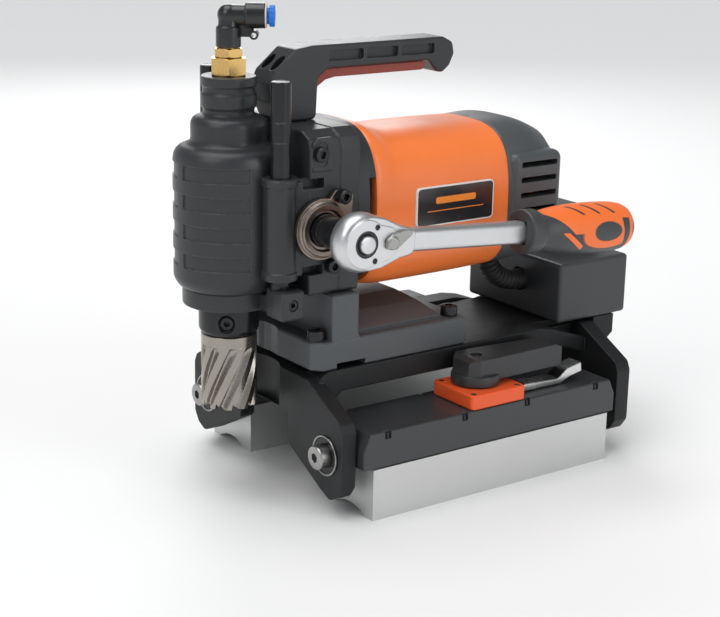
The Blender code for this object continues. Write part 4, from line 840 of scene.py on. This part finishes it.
def spindle():
    neck = 0.1154
    nose = turned([(0.0, 0.1950), (0.0110, 0.1950), (0.0110, neck), (0.0165, neck),
                   (0.0172, neck - 0.0004), (0.0175, neck - 0.0012), (0.0175, ARBOR_BOTTOM + 0.0030),
                   (0.0171, ARBOR_BOTTOM + 0.0016), (0.0160, ARBOR_BOTTOM), (0.0, ARBOR_BOTTOM)],
                  steps=96)
    tools = [upright(0.08, 0.1145, 0.0098, 64)]
    for label in ("a", "b"):
        node = "arbor_screw_" + label
        centre = middle(node)
        way = Vector((centre.x, centre.y, 0.0)).normalized()
        base = Vector((0, 0, centre.z))
        tools.append(turned_cone(base + way * 0.0102, base + way * 0.0180, 0.0041, 0.0052))
        grub = rod(base + way * 0.0101, base + way * 0.0160, 0.0038, 32, 0.0004)
        grub = cut(grub, rod(base + way * 0.0125, base + way * 0.02, 0.0021, 6))
        piece(node + "_fine", grub, BLACK_STEEL, "spindle", [node])
    piece("arbor_turned", cut(nose, *tools), BLACK_STEEL, "spindle", ["arbor"])
    collar = turned([(0.0, 0.1135), (0.0094, 0.1135), (0.0094, ARBOR_BOTTOM - 0.0003),
                     (0.0154, ARBOR_BOTTOM - 0.0003), (0.0162, ARBOR_BOTTOM - 0.0010),
                     (0.0162, 0.0917), (0.0159, 0.0911), (0.0, 0.0911)], steps=96)
    body = join(fluted_wall(), collar)
    tools = [upright(CUTTER_BOTTOM - 0.002, 0.0895, 0.0124, 64),
             upright(0.07, 0.12, 0.0036, 32)]
    for i in range(FLUTES):
        notch = plate([(-0.0022, CUTTER_BOTTOM - 0.001), (0.0036, CUTTER_BOTTOM - 0.001),
                       (-0.0014, CUTTER_BOTTOM + 0.0034)], 'X', 0.0105, 0.0175)
        tools.append(moved(notch, Matrix.Rotation(math.tau * (i + 0.48) / FLUTES, 4, 'Z')))
    piece("annular_cutter_fluted", cut(body, *tools), CUTTER_STEEL, "spindle", ["annular_cutter"],
          smooth=28.0)


def turned_cone(start, end, radius, mouth):
    """A countersunk hole's shape: a bar that widens at its outer end."""
    a = Vector(start)
    b = Vector(end)
    length = (b - a).length
    body = turned([(0.0, length), (mouth + 0.001, length), (mouth, length - 0.0012),
                   (radius, length - 0.0024), (radius, 0.0), (0.0, 0.0)], steps=48)
    return moved(body, Matrix.Translation(a) @ (b - a).to_track_quat('Z', 'Y').to_matrix().to_4x4())


# ---------------------------------------------------------------- motor
def motor():
    sleeve = loft([(FRONT_OF_MOTOR, 0.0456, 0.0526, 0.0420), (0.0728, 0.0461, 0.0534, 0.0428),
                   (0.0755, 0.0462, 0.0533, 0.0436), (0.0800, 0.0462, 0.0512, 0.0446),
                   (0.0860, 0.0460, 0.0480, 0.0451), (0.0950, 0.0458, 0.0468, 0.0452),
                   (0.1200, 0.0457, 0.0467, 0.0452), (0.1450, 0.0453, 0.0467, 0.0450),
                   (0.1690, 0.0449, 0.0462, 0.0444), (REAR_OF_SLEEVE, 0.0444, 0.0458, 0.0440)])
    bore = turned([(0.0, 0.12), (0.0398, 0.12), (0.0398, -0.01), (0.0, -0.01)],
                  (0, FRONT_OF_MOTOR, MOTOR.z), 'Y', 64)
    piece("motor_sleeve", cut(sleeve, bore), ORANGE, "chassis", ["motor_housing"])
    y0 = REAR_OF_SLEEVE + 0.0003
    rear = high("motor_end_cap").y
    cap = loft([(y0, 0.0442, 0.0458, 0.0440), (y0 + 0.0012, 0.0446, 0.0463, 0.0444),
                (0.1880, 0.0442, 0.0468, 0.0436), (0.2000, 0.0420, 0.0445, 0.0415),
                (0.2120, 0.0375, 0.0395, 0.0370), (rear - 0.0010, 0.0325, 0.0340, 0.0325),
                (rear, 0.0310, 0.0325, 0.0310)])
    bulge = block(-0.0468, 0.0468, y0 + 0.0015, 0.2125, MOTOR.z - 0.0260, MOTOR.z + 0.0290, 0.0055, 6)
    cap = join(cap, bulge)
    hollow = turned([(0.0, 0.2155 - y0), (0.0260, 0.2150 - y0), (0.0360, 0.2060 - y0),
                     (0.0390, 0.1900 - y0), (0.0390, -0.01), (0.0, -0.01)], (0, y0, MOTOR.z), 'Y', 64)
    tools = [hollow]
    for side in (1.0, -1.0):
        for i in range(4):
            z = 0.1852 - 0.0094 * i
            slot = rounded(0.1785, 0.2070, z - 0.0017, z + 0.0017, 0.0012, 4)
            tools.append(plate(slot, 'X', *both(side, 0.0300, 0.0600)))
    piece("motor_cap_vented", cut(cap, *tools), END_CAP, "chassis", ["motor_end_cap"])
    label()


def label():
    """Blank rating plate: a pale rounded rim, a black field and two plain bars."""
    lo = low("nameplate")
    hi = high("nameplate")
    rim = plate(rounded(lo.y, hi.y, lo.z, hi.z, 0.0030), 'X', lo.x - 0.0010, hi.x + 0.0001, 0.0001, 1)
    piece("label_rim", rim, LABEL_PALE, "chassis", ["nameplate"])
    field = plate(rounded(lo.y + 0.0008, hi.y - 0.0008, lo.z + 0.0008, hi.z - 0.0008, 0.0023), 'X',
                  lo.x, hi.x + 0.0002, 0.00008, 1)
    piece("label_field", field, LABEL, "chassis")
    centre = (lo + hi) / 2
    bars = merge(plate(rounded(centre.y - 0.0150, centre.y + 0.0150, centre.z + 0.0012,
                               centre.z + 0.0052, 0.0012), 'X', hi.x, hi.x + 0.00028),
                 plate(rounded(centre.y - 0.0210, centre.y + 0.0210, centre.z - 0.0032,
                               centre.z - 0.0026, 0.0002), 'X', hi.x, hi.x + 0.00028))
    piece("label_bars", bars, LABEL_ORANGE, "chassis")


# ---------------------------------------------------------------- handle
def handle():
    side = [(0.0275, 0.2183), (0.0215, 0.2300), (0.0205, 0.2400), (0.0240, 0.2470),
            (0.0385, 0.2590), (0.0500, 0.2605), (0.1440, 0.2605), (0.1510, 0.2570),
            (0.1525, 0.2500), (0.1490, 0.2430), (0.1440, 0.2392), (0.1395, 0.2398),
            (0.1330, 0.2470), (0.0600, 0.2465), (0.0535, 0.2415), (0.0525, 0.2183)]
    body = plate(fillet(side, 0.0040, 6), 'X', -0.0105, 0.0105, 0.0016, 4)
    tools = []
    for sign in (1.0, -1.0):
        for y0, y1 in ((0.0600, 0.0850), (0.0870, 0.1100), (0.1120, 0.1370)):
            slot = rounded(y0, y1, 0.2510, 0.2572, 0.0018)
            tools.append(plate(slot, 'X', *both(sign, 0.0075, 0.0200)))
    for x in (0.0048, -0.0048):
        hole = upright(-0.0100, 0.0100, 0.0034, 48)
        hole.data.transform(Matrix.Diagonal((1.0, 1.75, 1.0, 1.0)))
        hole.data.transform(Matrix.Translation((x, 0.0300, 0.2505)) @ Matrix.Rotation(
            math.radians(39.0), 4, 'X'))
        tools.append(hole)
    piece("handle_casting", cut(body, *tools), CASTING, "chassis", ["carry_handle"])
    insert = [(0.0524, 0.2466), (0.0524, 0.2330), (0.0545, 0.2370), (0.0600, 0.2404),
              (0.0665, 0.2416), (0.1300, 0.2416), (0.1328, 0.2466)]
    grip = plate(fillet(insert, 0.0020), 'X', -0.0080, 0.0080, 0.0010)
    piece("handle_grip_insert", moved(grip, Matrix.Translation((0, 0, -0.0001))), INSERT_RED_PAINTED_SHADE,
          "chassis", ["handle_insert"])


# ---------------------------------------------------------------- saddle and magnets
def cross_wall(y0, y1):
    half = [(0.0167, 0.0765), (0.0450, 0.0765), (0.0785, 0.0590), (0.0810, 0.0535),
            (0.0810, 0.0205), (0.0765, 0.0140), (0.0690, 0.0105), (0.0610, 0.0140),
            (0.0257, 0.0324), (0.0257, 0.0520)]
    outline = half + [(-x, z) for x, z in reversed(half)]
    return plate(fillet(outline, 0.0045, 4), 'Y', y0, y1, 0.0007, 2)


def saddle():
    ears = ((low("saddle_frame").y, 0.034), (0.236, high("saddle_frame").y))
    front = cut(cross_wall(*ears[0]), upright(0.0525, 0.09, 0.0295, 96))
    rear = cross_wall(*ears[1])
    rail = fillet([(0.030, 0.0760), (0.036, 0.0803), (0.197, 0.0803), (0.209, 0.0780),
                   (0.2420, 0.0660), (0.2420, 0.0560), (0.2200, 0.0640), (0.205, 0.0668),
                   (0.046, 0.0668), (0.038, 0.0600), (0.030, 0.0540)], 0.0060, 5)
    body = join(front, rear)
    for side in (1.0, -1.0):
        body = join(body, plate(rail, 'X', *both(side, 0.034, 0.050), 0.0012, 3))
    deck = block(-0.036, 0.036, 0.030, 0.240, 0.0690, 0.0740)
    window = plate(rounded(-0.022, 0.022, 0.075, 0.125, 0.006), 'Z', 0.060, 0.090)
    body = join(body, cut(deck, window))
    tools = [block(-0.0336, 0.0336, 0.2300, 0.2600, 0.0740, 0.0900)]
    for side in (1.0, -1.0):
        for y0, y1 in ears:
            tools.append(rod((side * PIVOT.x, y0 - 0.002, PIVOT.z), (side * PIVOT.x, y1 + 0.002, PIVOT.z),
                             0.0052, 32))
    piece("saddle_frame_milled", cut(body, *tools), SADDLE_PAINT, "chassis", ["saddle_frame"])
    for end, face, way in (("front", ears[0][0], -1.0), ("rear", ears[1][1], 1.0)):
        for side, name in SIDES:
            pivot_bolt(end, name, side * PIVOT.x, face, way)


def pivot_bolt(end, name, x, face, way):
    """A thin bush and ring on the ear, and the shouldered socket bolt that stands out of it."""
    def lathe(profile):
        body = turned(profile, steps=64)
        turn = Matrix.Rotation(math.pi / 2 if way < 0.0 else -math.pi / 2, 4, 'X')
        return moved(body, Matrix.Translation((x, face, PIVOT.z)) @ turn)
    reach = 0.0200 if end == "front" else 0.0270
    body = lathe([(0.0, 0.0078), (0.0058, 0.0078), (0.0066, 0.0075), (0.0071, 0.0068),
                  (0.0071, 0.0008), (0.0049, 0.0006), (0.0049, -reach), (0.0, -reach)])
    hole = rod((x, face + way * 0.0038, PIVOT.z), (x, face + way * 0.0100, PIVOT.z), 0.0030, 6)
    node = "pivot_bolt_%s_%s" % (end, name)
    piece(node + "_fine", cut(body, hole), DARK_CHROME, "chassis", [node])
    ring = lathe([(0.0108, 0.0003), (0.0108, 0.0010), (0.0111, 0.0012), (0.0116, 0.0012),
                  (0.0118, 0.0010), (0.0118, 0.0003), (0.0108, 0.0003)])
    disc = lathe([(0.0072, 0.0003), (0.0072, 0.0006), (0.0107, 0.0006), (0.0107, 0.0003),
                  (0.0072, 0.0003)])
    piece("pivot_ring_%s_%s" % (end, name), ring, DARK_CHROME, "chassis")
    piece("pivot_bush_%s_%s" % (end, name), disc, BLACK_STEEL, "chassis")


def magnet_cover():
    """Cover with sloping ends, clip notches along its top edges and a screw in each."""
    z0 = low("magnet_cover_right").z
    front = low("magnet_cover_right").y
    rear = high("magnet_cover_right").y
    outline = [(front, z0), (front, 0.0425), (front + 0.0045, COVER_TOP), (rear - 0.0045, COVER_TOP),
               (rear, 0.0425), (rear, z0)]
    body = plate(fillet(outline, 0.0014, 4), 'X', -0.0218, 0.0218, 0.0011, 3)
    tools = []
    screws = []
    for y in (0.0520, 0.1080, 0.1560, 0.2120):
        for sign in (1.0, -1.0):
            tools.append(block(*both(sign, 0.0195, 0.0230), y - 0.0022, y + 0.0022,
                               0.0478, 0.0540, 0.0004, 2))
            head = rod((sign * 0.0206, y, 0.0478), (sign * 0.0206, y, 0.0512), 0.0011, 24, 0.0002)
            screws.append(head)
    for y0, y1 in ((front - 0.002, front + 0.010), (rear - 0.010, rear + 0.002)):
        tools.append(rod((0, y0, PIVOT.z), (0, y1, PIVOT.z), 0.0053, 32))
    return cut(body, *tools), merge(*screws)


def switch_lever():
    """Round hub with a flat-sided arm, a sunk screw and the spindle below."""
    z0 = low("switch_lever_right").z + 0.0086
    hub = turned([(0.0, z0 + 0.0068), (0.0136, z0 + 0.0067), (0.0145, z0 + 0.0062),
                  (0.0149, z0 + 0.0052), (0.0150, z0 + 0.0010), (0.0148, z0 + 0.0003),
                  (0.0144, z0), (0.0, z0)])
    side = fillet([(-0.0135, z0 + 0.003), (-0.0115, z0 + 0.0150), (-0.0070, z0 + 0.0168),
                   (0.0560, z0 + 0.0160), (0.0620, z0 + 0.0135), (0.0622, z0 + 0.0020),
                   (0.0150, z0 + 0.0030)], 0.0016)
    arm = plate(side, 'X', -0.0130, 0.0130)
    top = fillet([(-0.0070, -0.0125), (0.0070, -0.0125), (0.0118, -0.0060), (0.0118, 0.0080),
                  (0.0082, 0.0630), (-0.0082, 0.0630), (-0.0118, 0.0080), (-0.0118, -0.0060)], 0.0030)
    arm = combine(arm, [plate(top, 'Z', z0 - 0.01, z0 + 0.03)], 'INTERSECT')
    body = join(hub, arm, upright(z0 - 0.0086, z0 + 0.003, 0.0062, 32))
    pocket = upright(z0 + 0.0145, z0 + 0.03, 0.0036, 32)
    screw = socket_screw((0, 0, z0 + 0.0142), (0, 0, 1), 0.0029, 0.0016, 0.0012, 0.0010)
    return cut(body, pocket), screw


def magnet_units():
    for side, name in SIDES:
        unit = "magnet_unit_" + name
        centre = Matrix.Translation((side * PIVOT.x, 0.0, 0.0))
        cover, screws = magnet_cover()
        piece("magnet_cover_%s_fine" % name, moved(cover, centre), COVER, unit,
              ["magnet_cover_" + name])
        piece("cover_screws_" + name, moved(screws, centre), BLACK_STEEL, unit)
        lo = low("switch_base_" + name)
        hi = high("switch_base_" + name)
        base = plate(rounded(lo.x, hi.x, lo.y, hi.y, 0.0030), 'Z', lo.z, hi.z, 0.0009, 3)
        seat = rod((side * SWITCH.x, SWITCH.y, lo.z - 0.002), (side * SWITCH.x, SWITCH.y, 0.070), 0.0066, 48)
        wells = [rod((x, y, hi.z - 0.0008), (x, y, hi.z + 0.002), 0.0018, 32)
                 for x in (lo.x + 0.0040, hi.x - 0.0040) for y in (lo.y + 0.0040, hi.y - 0.0040)]
        fixings = [socket_screw((x, y, hi.z - 0.0008), (0, 0, 1), 0.0015, 0.0009, 0.0006, 0.0001)
                   for x in (lo.x + 0.0040, hi.x - 0.0040) for y in (lo.y + 0.0040, hi.y - 0.0040)]
        piece("switch_base_%s_fine" % name, cut(base, seat, *wells), RED_ORANGE, unit,
              ["switch_base_" + name])
        piece("switch_fixings_" + name, merge(*fixings), BLACK_STEEL, unit)
        lever, screw = switch_lever()
        turn = Matrix.Translation((side * SWITCH.x, SWITCH.y, 0.0))
        if side < 0.0:
            flipped(lever)
            flipped(screw)
        piece("switch_lever_%s_fine" % name, moved(lever, turn), BLACK_PLASTIC, "lever_" + name,
              ["switch_lever_" + name])
        piece("lever_screw_" + name, moved(screw, turn), BLACK_STEEL, "lever_" + name)


# ---------------------------------------------------------------- control box and conduit
def control_box():
    lo = low("control_box")
    hi = high("control_box")
    box_top = 0.1175
    body = block(lo.x, hi.x, lo.y, hi.y, lo.z, box_top, 0.0026, 5)
    hood = block(-0.040, 0.018, 0.2420, 0.2750, box_top - 0.002, hi.z, 0.0020, 4)
    body = join(body, hood)
    tools = [block(lo.x + 0.004, hi.x - 0.004, lo.y + 0.004, hi.y - 0.004, lo.z - 0.002, box_top - 0.004),
             rod((0.0060, lo.y - 0.01, 0.1000), (0.0060, lo.y + 0.01, 0.1000), 0.0078, 48)]
    for name, entry in (("stop", RED_ORANGE), ("start", BLUE)):
        node = "button_" + name
        centre = middle(node)
        tools.append(rod((centre.x, 0.2700, centre.z), (centre.x, 0.2800, centre.z), 0.0068, 48))
        button = rod((centre.x, low(node).y, centre.z), (centre.x, high(node).y, centre.z),
                     0.0063, 64, 0.0011)
        piece(node + "_fine", button, entry, name + "_button", [node])
    piece("control_box_shell", cut(body, *tools), BOX_PLASTIC, "chassis", ["control_box"])


def conduit():
    """Corrugated conduit in one arc from the motor's underside into the box."""
    ribs = 13
    sides = 40
    rings = 8 * ribs
    bm = bmesh.new()
    loops = []
    for k in range(rings + 1):
        t = k / rings
        if t > 0.8:
            centre = Vector((0.0060, 0.2155 + (t - 0.8) * 0.045, 0.1000))
            tangent = Vector((0, 1, 0))
        else:
            turn = t / 0.8 * math.pi / 2
            centre = Vector((0.0060, 0.1890 + 0.0265 * (1.0 - math.cos(turn)),
                             0.1186 - 0.0186 * math.sin(turn)))
            tangent = Vector((0, 0.0265 * math.sin(turn), -0.0186 * math.cos(turn))).normalized()
        across = Vector((1, 0, 0))
        other = tangent.cross(across)
        radius = 0.0059 + 0.0008 * math.tanh(2.5 * math.cos(math.tau * ribs * t)) + 0.0001
        loops.append([bm.verts.new(centre + across * radius * math.cos(math.tau * i / sides)
                                   + other * radius * math.sin(math.tau * i / sides))
                      for i in range(sides)])
    piece("motor_conduit_ribbed", skin("conduit", bm, loops), RUBBER, "chassis", ["motor_conduit"],
          smooth=60.0)


# ---------------------------------------------------------------- coolant fitting
def hexagon(z0, z1, radius, chamfer):
    """A hexagonal collar with its corners turned off at both ends."""
    bar = upright(z0, z1, radius, 6)
    lathe = turned([(0.0, z1), (radius - chamfer * 1.6, z1), (radius + 0.0002, z1 - chamfer),
                    (radius + 0.0002, z0 + chamfer), (radius - chamfer * 1.6, z0), (0.0, z0)])
    return combine(bar, [lathe], 'INTERSECT')


def fitting():
    z0 = low("brass_adapter").z + 0.0103
    lower = join(hexagon(z0, high("brass_adapter").z, 0.0108, 0.0009),
                 rod((0, 0, low("brass_adapter").z), (0, 0, z0 + 0.004), 0.0058, 48))
    lower = cut(lower, upright(z0 - 0.02, z0 + 0.02, 0.0032, 32))
    piece("brass_adapter_hex", lower, BRASS, "chassis", ["brass_adapter"])
    z1 = low("brass_nut").z
    nut = join(hexagon(z1, z1 + 0.0048, 0.0086, 0.0007),
               rod((0, 0, z1 + 0.002), (0, 0, high("brass_nut").z), 0.0048, 48))
    nut = cut(nut, upright(z1 - 0.01, z1 + 0.02, 0.0028, 32))
    piece("brass_nut_hex", nut, BRASS, "chassis", ["brass_nut"])
    way = Vector((math.cos(ELBOW_TURN), math.sin(ELBOW_TURN), 0.0))
    knee_z = middle("collet").z
    z2 = low("elbow_body").z
    centre = Vector((0, 0, knee_z))
    stem = turned([(0.0, knee_z), (0.0056, knee_z), (0.0057, 0.2738), (0.0060, 0.2730), (0.0068, 0.2724),
                   (0.0070, 0.2716), (0.0070, z2 + 0.0008), (0.0067, z2), (0.0, z2)], steps=64)
    knee = turned([(0.0061 * math.sin(math.pi * i / 24), knee_z + 0.0061 * math.cos(math.pi * i / 24))
                   for i in range(25)], steps=64)
    neck = rod(centre, centre + way * 0.0120, 0.0057, 64)
    arm = rod(centre + way * 0.0092, centre + way * 0.0206, 0.0071, 64, 0.0009)
    flat = Vector((math.sin(ELBOW_TURN), -math.cos(ELBOW_TURN), 0.0))
    hold = Vector((0, 0, 0.2685)) + way * 0.0142
    eye = rod(hold - flat * 0.0045, hold + flat * 0.0040, 0.0025, 32, 0.0003)
    web = block(-0.0006, 0.0006, 0.0060, 0.0140, 0.2672, 0.2735)
    moved(web, Matrix.Rotation(ELBOW_TURN - math.pi / 2, 4, 'Z'))
    body = join(stem, knee, neck, arm, eye, web)
    body = cut(body, upright(z2 - 0.002, 0.2740, 0.0051, 32),
               rod(centre + way * 0.006, centre + way * 0.03, 0.0050, 48),
               rod(hold - flat * 0.006, hold + flat * 0.006, 0.0014, 24))
    piece("elbow_moulding", body, ELBOW_BLACK, "elbow", ["elbow_body"])
    ring = rod(centre + way * 0.0203, centre + way * 0.0212, 0.0069, 64, 0.0002)
    ring = cut(ring, rod(centre, centre + way * 0.03, 0.0051, 48))
    piece("elbow_pale_ring", ring, PALE, "elbow")
    tube = rod(centre + way * 0.0110, centre + way * 0.0240, 0.0046, 48)
    rim = rod(centre + way * 0.0226, centre + way * 0.0256, 0.0060, 64, 0.0004)
    teeth = []
    for i in range(12):
        angle = math.tau * (i + 0.5) / 12
        spoke = flat * math.cos(angle) + Vector((0, 0, 1)) * math.sin(angle)
        teeth.append(rod(centre + way * 0.0220 + spoke * 0.0063, centre + way * 0.0262 + spoke * 0.0063,
                         0.0007, 12))
    rim = cut(rim, merge(*teeth))
    collet = cut(join(tube, rim), rod(centre, centre + way * 0.03, 0.0029, 48))
    piece("collet_toothed", collet, BLUE, "elbow_collet", ["collet"])


# ---------------------------------------------------------------- ratchet wrench
def wrench():
    tilt = (Matrix.Translation((0, FEED.y, FEED.z)) @ Matrix.Rotation(-WRENCH_TILT, 4, 'X')
            @ Matrix.Translation((0, -FEED.y, -FEED.z)))
    wrench_head(tilt)
    wrench_controls(tilt)
    wrench_grip(tilt)


def wrench_head(tilt):
    """Rounded head, neck and shank, with the flat cover plate and its two screws."""
    x0 = WRENCH_IN
    x1 = WRENCH_OUT
    y = FEED.y
    z = FEED.z
    head = turned([(0.0, x1 - 0.0006), (0.0134, x1 - 0.0006), (0.0146, x1 - 0.0012),
                   (0.0157, x1 - 0.0026), (0.0164, x1 - 0.0048), (0.0167, x1 - 0.0076),
                   (0.0164, x1 - 0.0104), (0.0156, x0 + 0.0014), (0.0148, x0 + 0.0004),
                   (0.0138, x0), (0.0, x0)], (0, y, z), 'X', 128)
    pod = fillet([(y - 0.002, z + 0.0160), (y + 0.012, z + 0.0138), (y + 0.024, z + 0.0088),
                  (y + 0.034, z + 0.0070), (y + 0.034, z - 0.0070), (y + 0.024, z - 0.0088),
                  (y + 0.012, z - 0.0138), (y - 0.002, z - 0.0160)], 0.0060, 3)
    neck = plate(pod, 'X', x0 + 0.0012, x1 - 0.0008, 0.0012, 3)
    shank = plate([(y + 0.022, z + 0.0066), (y + 0.124, z + 0.0066), (y + 0.124, z - 0.0066),
                   (y + 0.022, z - 0.0066)], 'X', x0 + 0.0026, x1 - 0.0020, 0.0034, 6)
    face = [(y + 0.0134 * math.cos(math.radians(a)), z + 0.0134 * math.sin(math.radians(a)))
            for a in range(52, 310, 6)]
    face += [(y + 0.0165, z - 0.0088), (y + 0.0235, z - 0.0030), (y + 0.0245, z), (y + 0.0235, z + 0.0030),
             (y + 0.0165, z + 0.0088)]
    cover = plate(face, 'X', x1 - 0.0020, x1, 0.0004, 3)
    body = join(head, neck, shank, cover)
    tools = [rod((x1 - 0.0045, y, z), (x1 + 0.01, y, z), 0.0075, 64),
             rod((x0 - 0.01, y, z), (x1 - 0.003, y, z), 0.0040, 32)]
    fixings = []
    for angle in (56.0, -56.0):
        fy = y + 0.0112 * math.cos(math.radians(angle))
        fz = z + 0.0112 * math.sin(math.radians(angle))
        tools.append(rod((x1 - 0.0006, fy, fz), (x1 + 0.002, fy, fz), 0.0017, 32))
        fixings.append(socket_screw((x1 - 0.0007, fy, fz), (1, 0, 0), 0.0015, 0.0006, 0.0006, 0.0001))
    body = cut(body, *tools)
    piece("wrench_head_forged", moved(body, tilt), CHROME, "wrench", ["wrench_head"])
    piece("wrench_fixings", moved(merge(*fixings), tilt), BLACK_STEEL, "wrench")


def wrench_controls(tilt):
    """Release button with its seal, and the direction lever."""
    x1 = WRENCH_OUT
    y = FEED.y
    z = FEED.z
    button = turned([(0.0, x1 + 0.0020), (0.0038, x1 + 0.0020), (0.0046, x1 + 0.0017),
                     (0.0051, x1 + 0.0008), (0.0051, x1 - 0.0022), (0.0, x1 - 0.0022)], (0, y, z), 'X')
    piece("release_button_turned", button, CHROME, "wrench_release", ["release_button"])
    seal = turned([(0.0053, x1 - 0.0014), (0.0058, x1 - 0.0006), (0.0070, x1 - 0.0002),
                   (0.0073, x1 - 0.0008), (0.0073, x1 - 0.0030), (0.0053, x1 - 0.0030),
                   (0.0053, x1 - 0.0014)], (0, y, z), 'X')
    piece("release_seal", seal, BLACK_PLASTIC, "wrench")
    yp = y + 0.0160
    zp = z + 0.0006
    blade = plate(fillet([(yp - 0.0035, zp - 0.0035), (yp + 0.0030, zp - 0.0038),
                          (yp + 0.0130, zp + 0.0042), (yp + 0.0135, zp + 0.0066),
                          (yp + 0.0100, zp + 0.0070), (yp - 0.0005, zp + 0.0048),
                          (yp - 0.0040, zp + 0.0020)], 0.0012), 'X', x1 + 0.0003, x1 + 0.0024, 0.0006, 3)
    knob = turned([(0.0, x1 + 0.0032), (0.0030, x1 + 0.0032), (0.0036, x1 + 0.0028),
                   (0.0040, x1 + 0.0018), (0.0040, x1 + 0.0003), (0.0, x1 + 0.0003)], (0, yp, zp), 'X', 48)
    piece("reverse_lever_fine", moved(join(blade, knob), tilt), DARK_CHROME, "wrench_reverse",
          ["reverse_lever"])


def wrench_grip(tilt):
    """The moulded grip, hollow where the shank goes in."""
    z = FEED.z
    grip_start = FEED.y + 0.1150
    profile = [(0.0, 0.0850), (0.0040, 0.0848), (0.0078, 0.0842), (0.0108, 0.0828),
               (0.0128, 0.0805), (0.0141, 0.0772), (0.0149, 0.0725), (0.0153, 0.0660),
               (0.0154, 0.0590), (0.0153, 0.0500), (0.0150, 0.0420), (0.0146, 0.0340),
               (0.0139, 0.0270), (0.0129, 0.0205), (0.0120, 0.0160), (0.0116, 0.0128),
               (0.0118, 0.0112), (0.0124, 0.0103), (0.0130, 0.0096), (0.0133, 0.0086),
               (0.0133, 0.0022), (0.0130, 0.0010), (0.0122, 0.0004), (0.0, 0.0004)]
    grip = turned(profile, (WRENCH.x, grip_start, z), 'Y', 96)
    socket = plate([(grip_start - 0.01, z + 0.0068), (grip_start + 0.0095, z + 0.0068),
                    (grip_start + 0.0095, z - 0.0068), (grip_start - 0.01, z - 0.0068)], 'X',
                   WRENCH_IN + 0.0024, WRENCH_OUT - 0.0018)
    piece("wrench_grip_moulded", moved(cut(grip, socket), tilt), GRIP, "wrench", ["wrench_grip"],
          smooth=50.0)


# ---------------------------------------------------------------- room
def lamp(name, place, target, size, power):
    data = bpy.data.lights.new(name, 'AREA')
    data.shape = 'RECTANGLE'
    data.size = size[0]
    data.size_y = size[1]
    data.energy = power
    obj = bpy.data.objects.new(name, data)
    bpy.context.scene.collection.objects.link(obj)
    obj.location = place
    way = Vector(target) - Vector(place)
    obj.rotation_euler = way.to_track_quat('-Z', 'Y').to_euler()


def room():
    bm = bmesh.new()
    bmesh.ops.create_grid(bm, x_segments=1, y_segments=1, size=6.0)
    floor = from_bmesh("floor", bm)
    material = bpy.data.materials.new("pale_floor")
    material.use_nodes = True
    shader = material.node_tree.nodes["Principled BSDF"]
    shader.inputs["Base Color"].default_value = (0.87, 0.87, 0.87, 1.0)
    shader.inputs["Roughness"].default_value = 0.75
    floor.data.materials.append(material)
    world = bpy.data.worlds.new("studio")
    world.use_nodes = True
    world.node_tree.nodes["Background"].inputs[0].default_value = (0.95, 0.97, 1.0, 1.0)
    nodes = world.node_tree.nodes
    links = world.node_tree.links
    direction = nodes.new("ShaderNodeTexCoord")
    parts = nodes.new("ShaderNodeSeparateXYZ")
    ramp = nodes.new("ShaderNodeMapRange")
    ramp.inputs["From Min"].default_value = 0.02
    ramp.inputs["From Max"].default_value = 0.45
    ramp.inputs["To Min"].default_value = 0.66
    ramp.inputs["To Max"].default_value = 0.24
    links.new(direction.outputs["Generated"], parts.inputs[0])
    links.new(parts.outputs["Z"], ramp.inputs["Value"])
    links.new(ramp.outputs["Result"], nodes["Background"].inputs["Strength"])
    bpy.context.scene.world = world
    overhead = bpy.data.lights.new("overhead", 'SUN')
    overhead.energy = 1.75
    overhead.angle = math.radians(50.0)
    sun = bpy.data.objects.new("overhead", overhead)
    bpy.context.scene.collection.objects.link(sun)
    sun.rotation_euler = (math.radians(8.0), math.radians(-6.0), 0.0)
    lamp("key", (0.35, -1.30, 1.20), (0.0, 0.0, 0.12), (0.9, 0.9), 7.0)
    lamp("side", (1.50, 0.45, 0.75), (0.0, 0.0, 0.12), (0.7, 1.2), 7.0)
    lamp("rim", (-1.20, 0.60, 0.90), (0.0, 0.0, 0.15), (0.6, 0.9), 6.0)


def camera():
    right = Vector((0.5849, 0.8108, 0.0200))
    up = Vector((-0.2359, 0.1466, 0.9607))
    back = Vector((0.7760, -0.5667, 0.2770))
    data = bpy.data.cameras.new("photo_view")
    data.lens = 83.55
    data.sensor_width = 36.0
    obj = bpy.data.objects.new("photo_view", data)
    bpy.context.scene.collection.objects.link(obj)
    matrix = Matrix((right, up, back)).transposed().to_4x4()
    matrix.translation = Vector((0.7923, -0.4850, 0.3797)) + SHIFT
    obj.matrix_world = matrix
    bpy.context.scene.camera = obj
    bpy.context.scene.view_settings.view_transform = 'Standard'


dress_nodes()
gear_housing()
feed_flange()
fixed_screws()
quill()
spindle()
motor()
handle()
saddle()
magnet_units()
control_box()
conduit()
fitting()
wrench()
room()
camera()
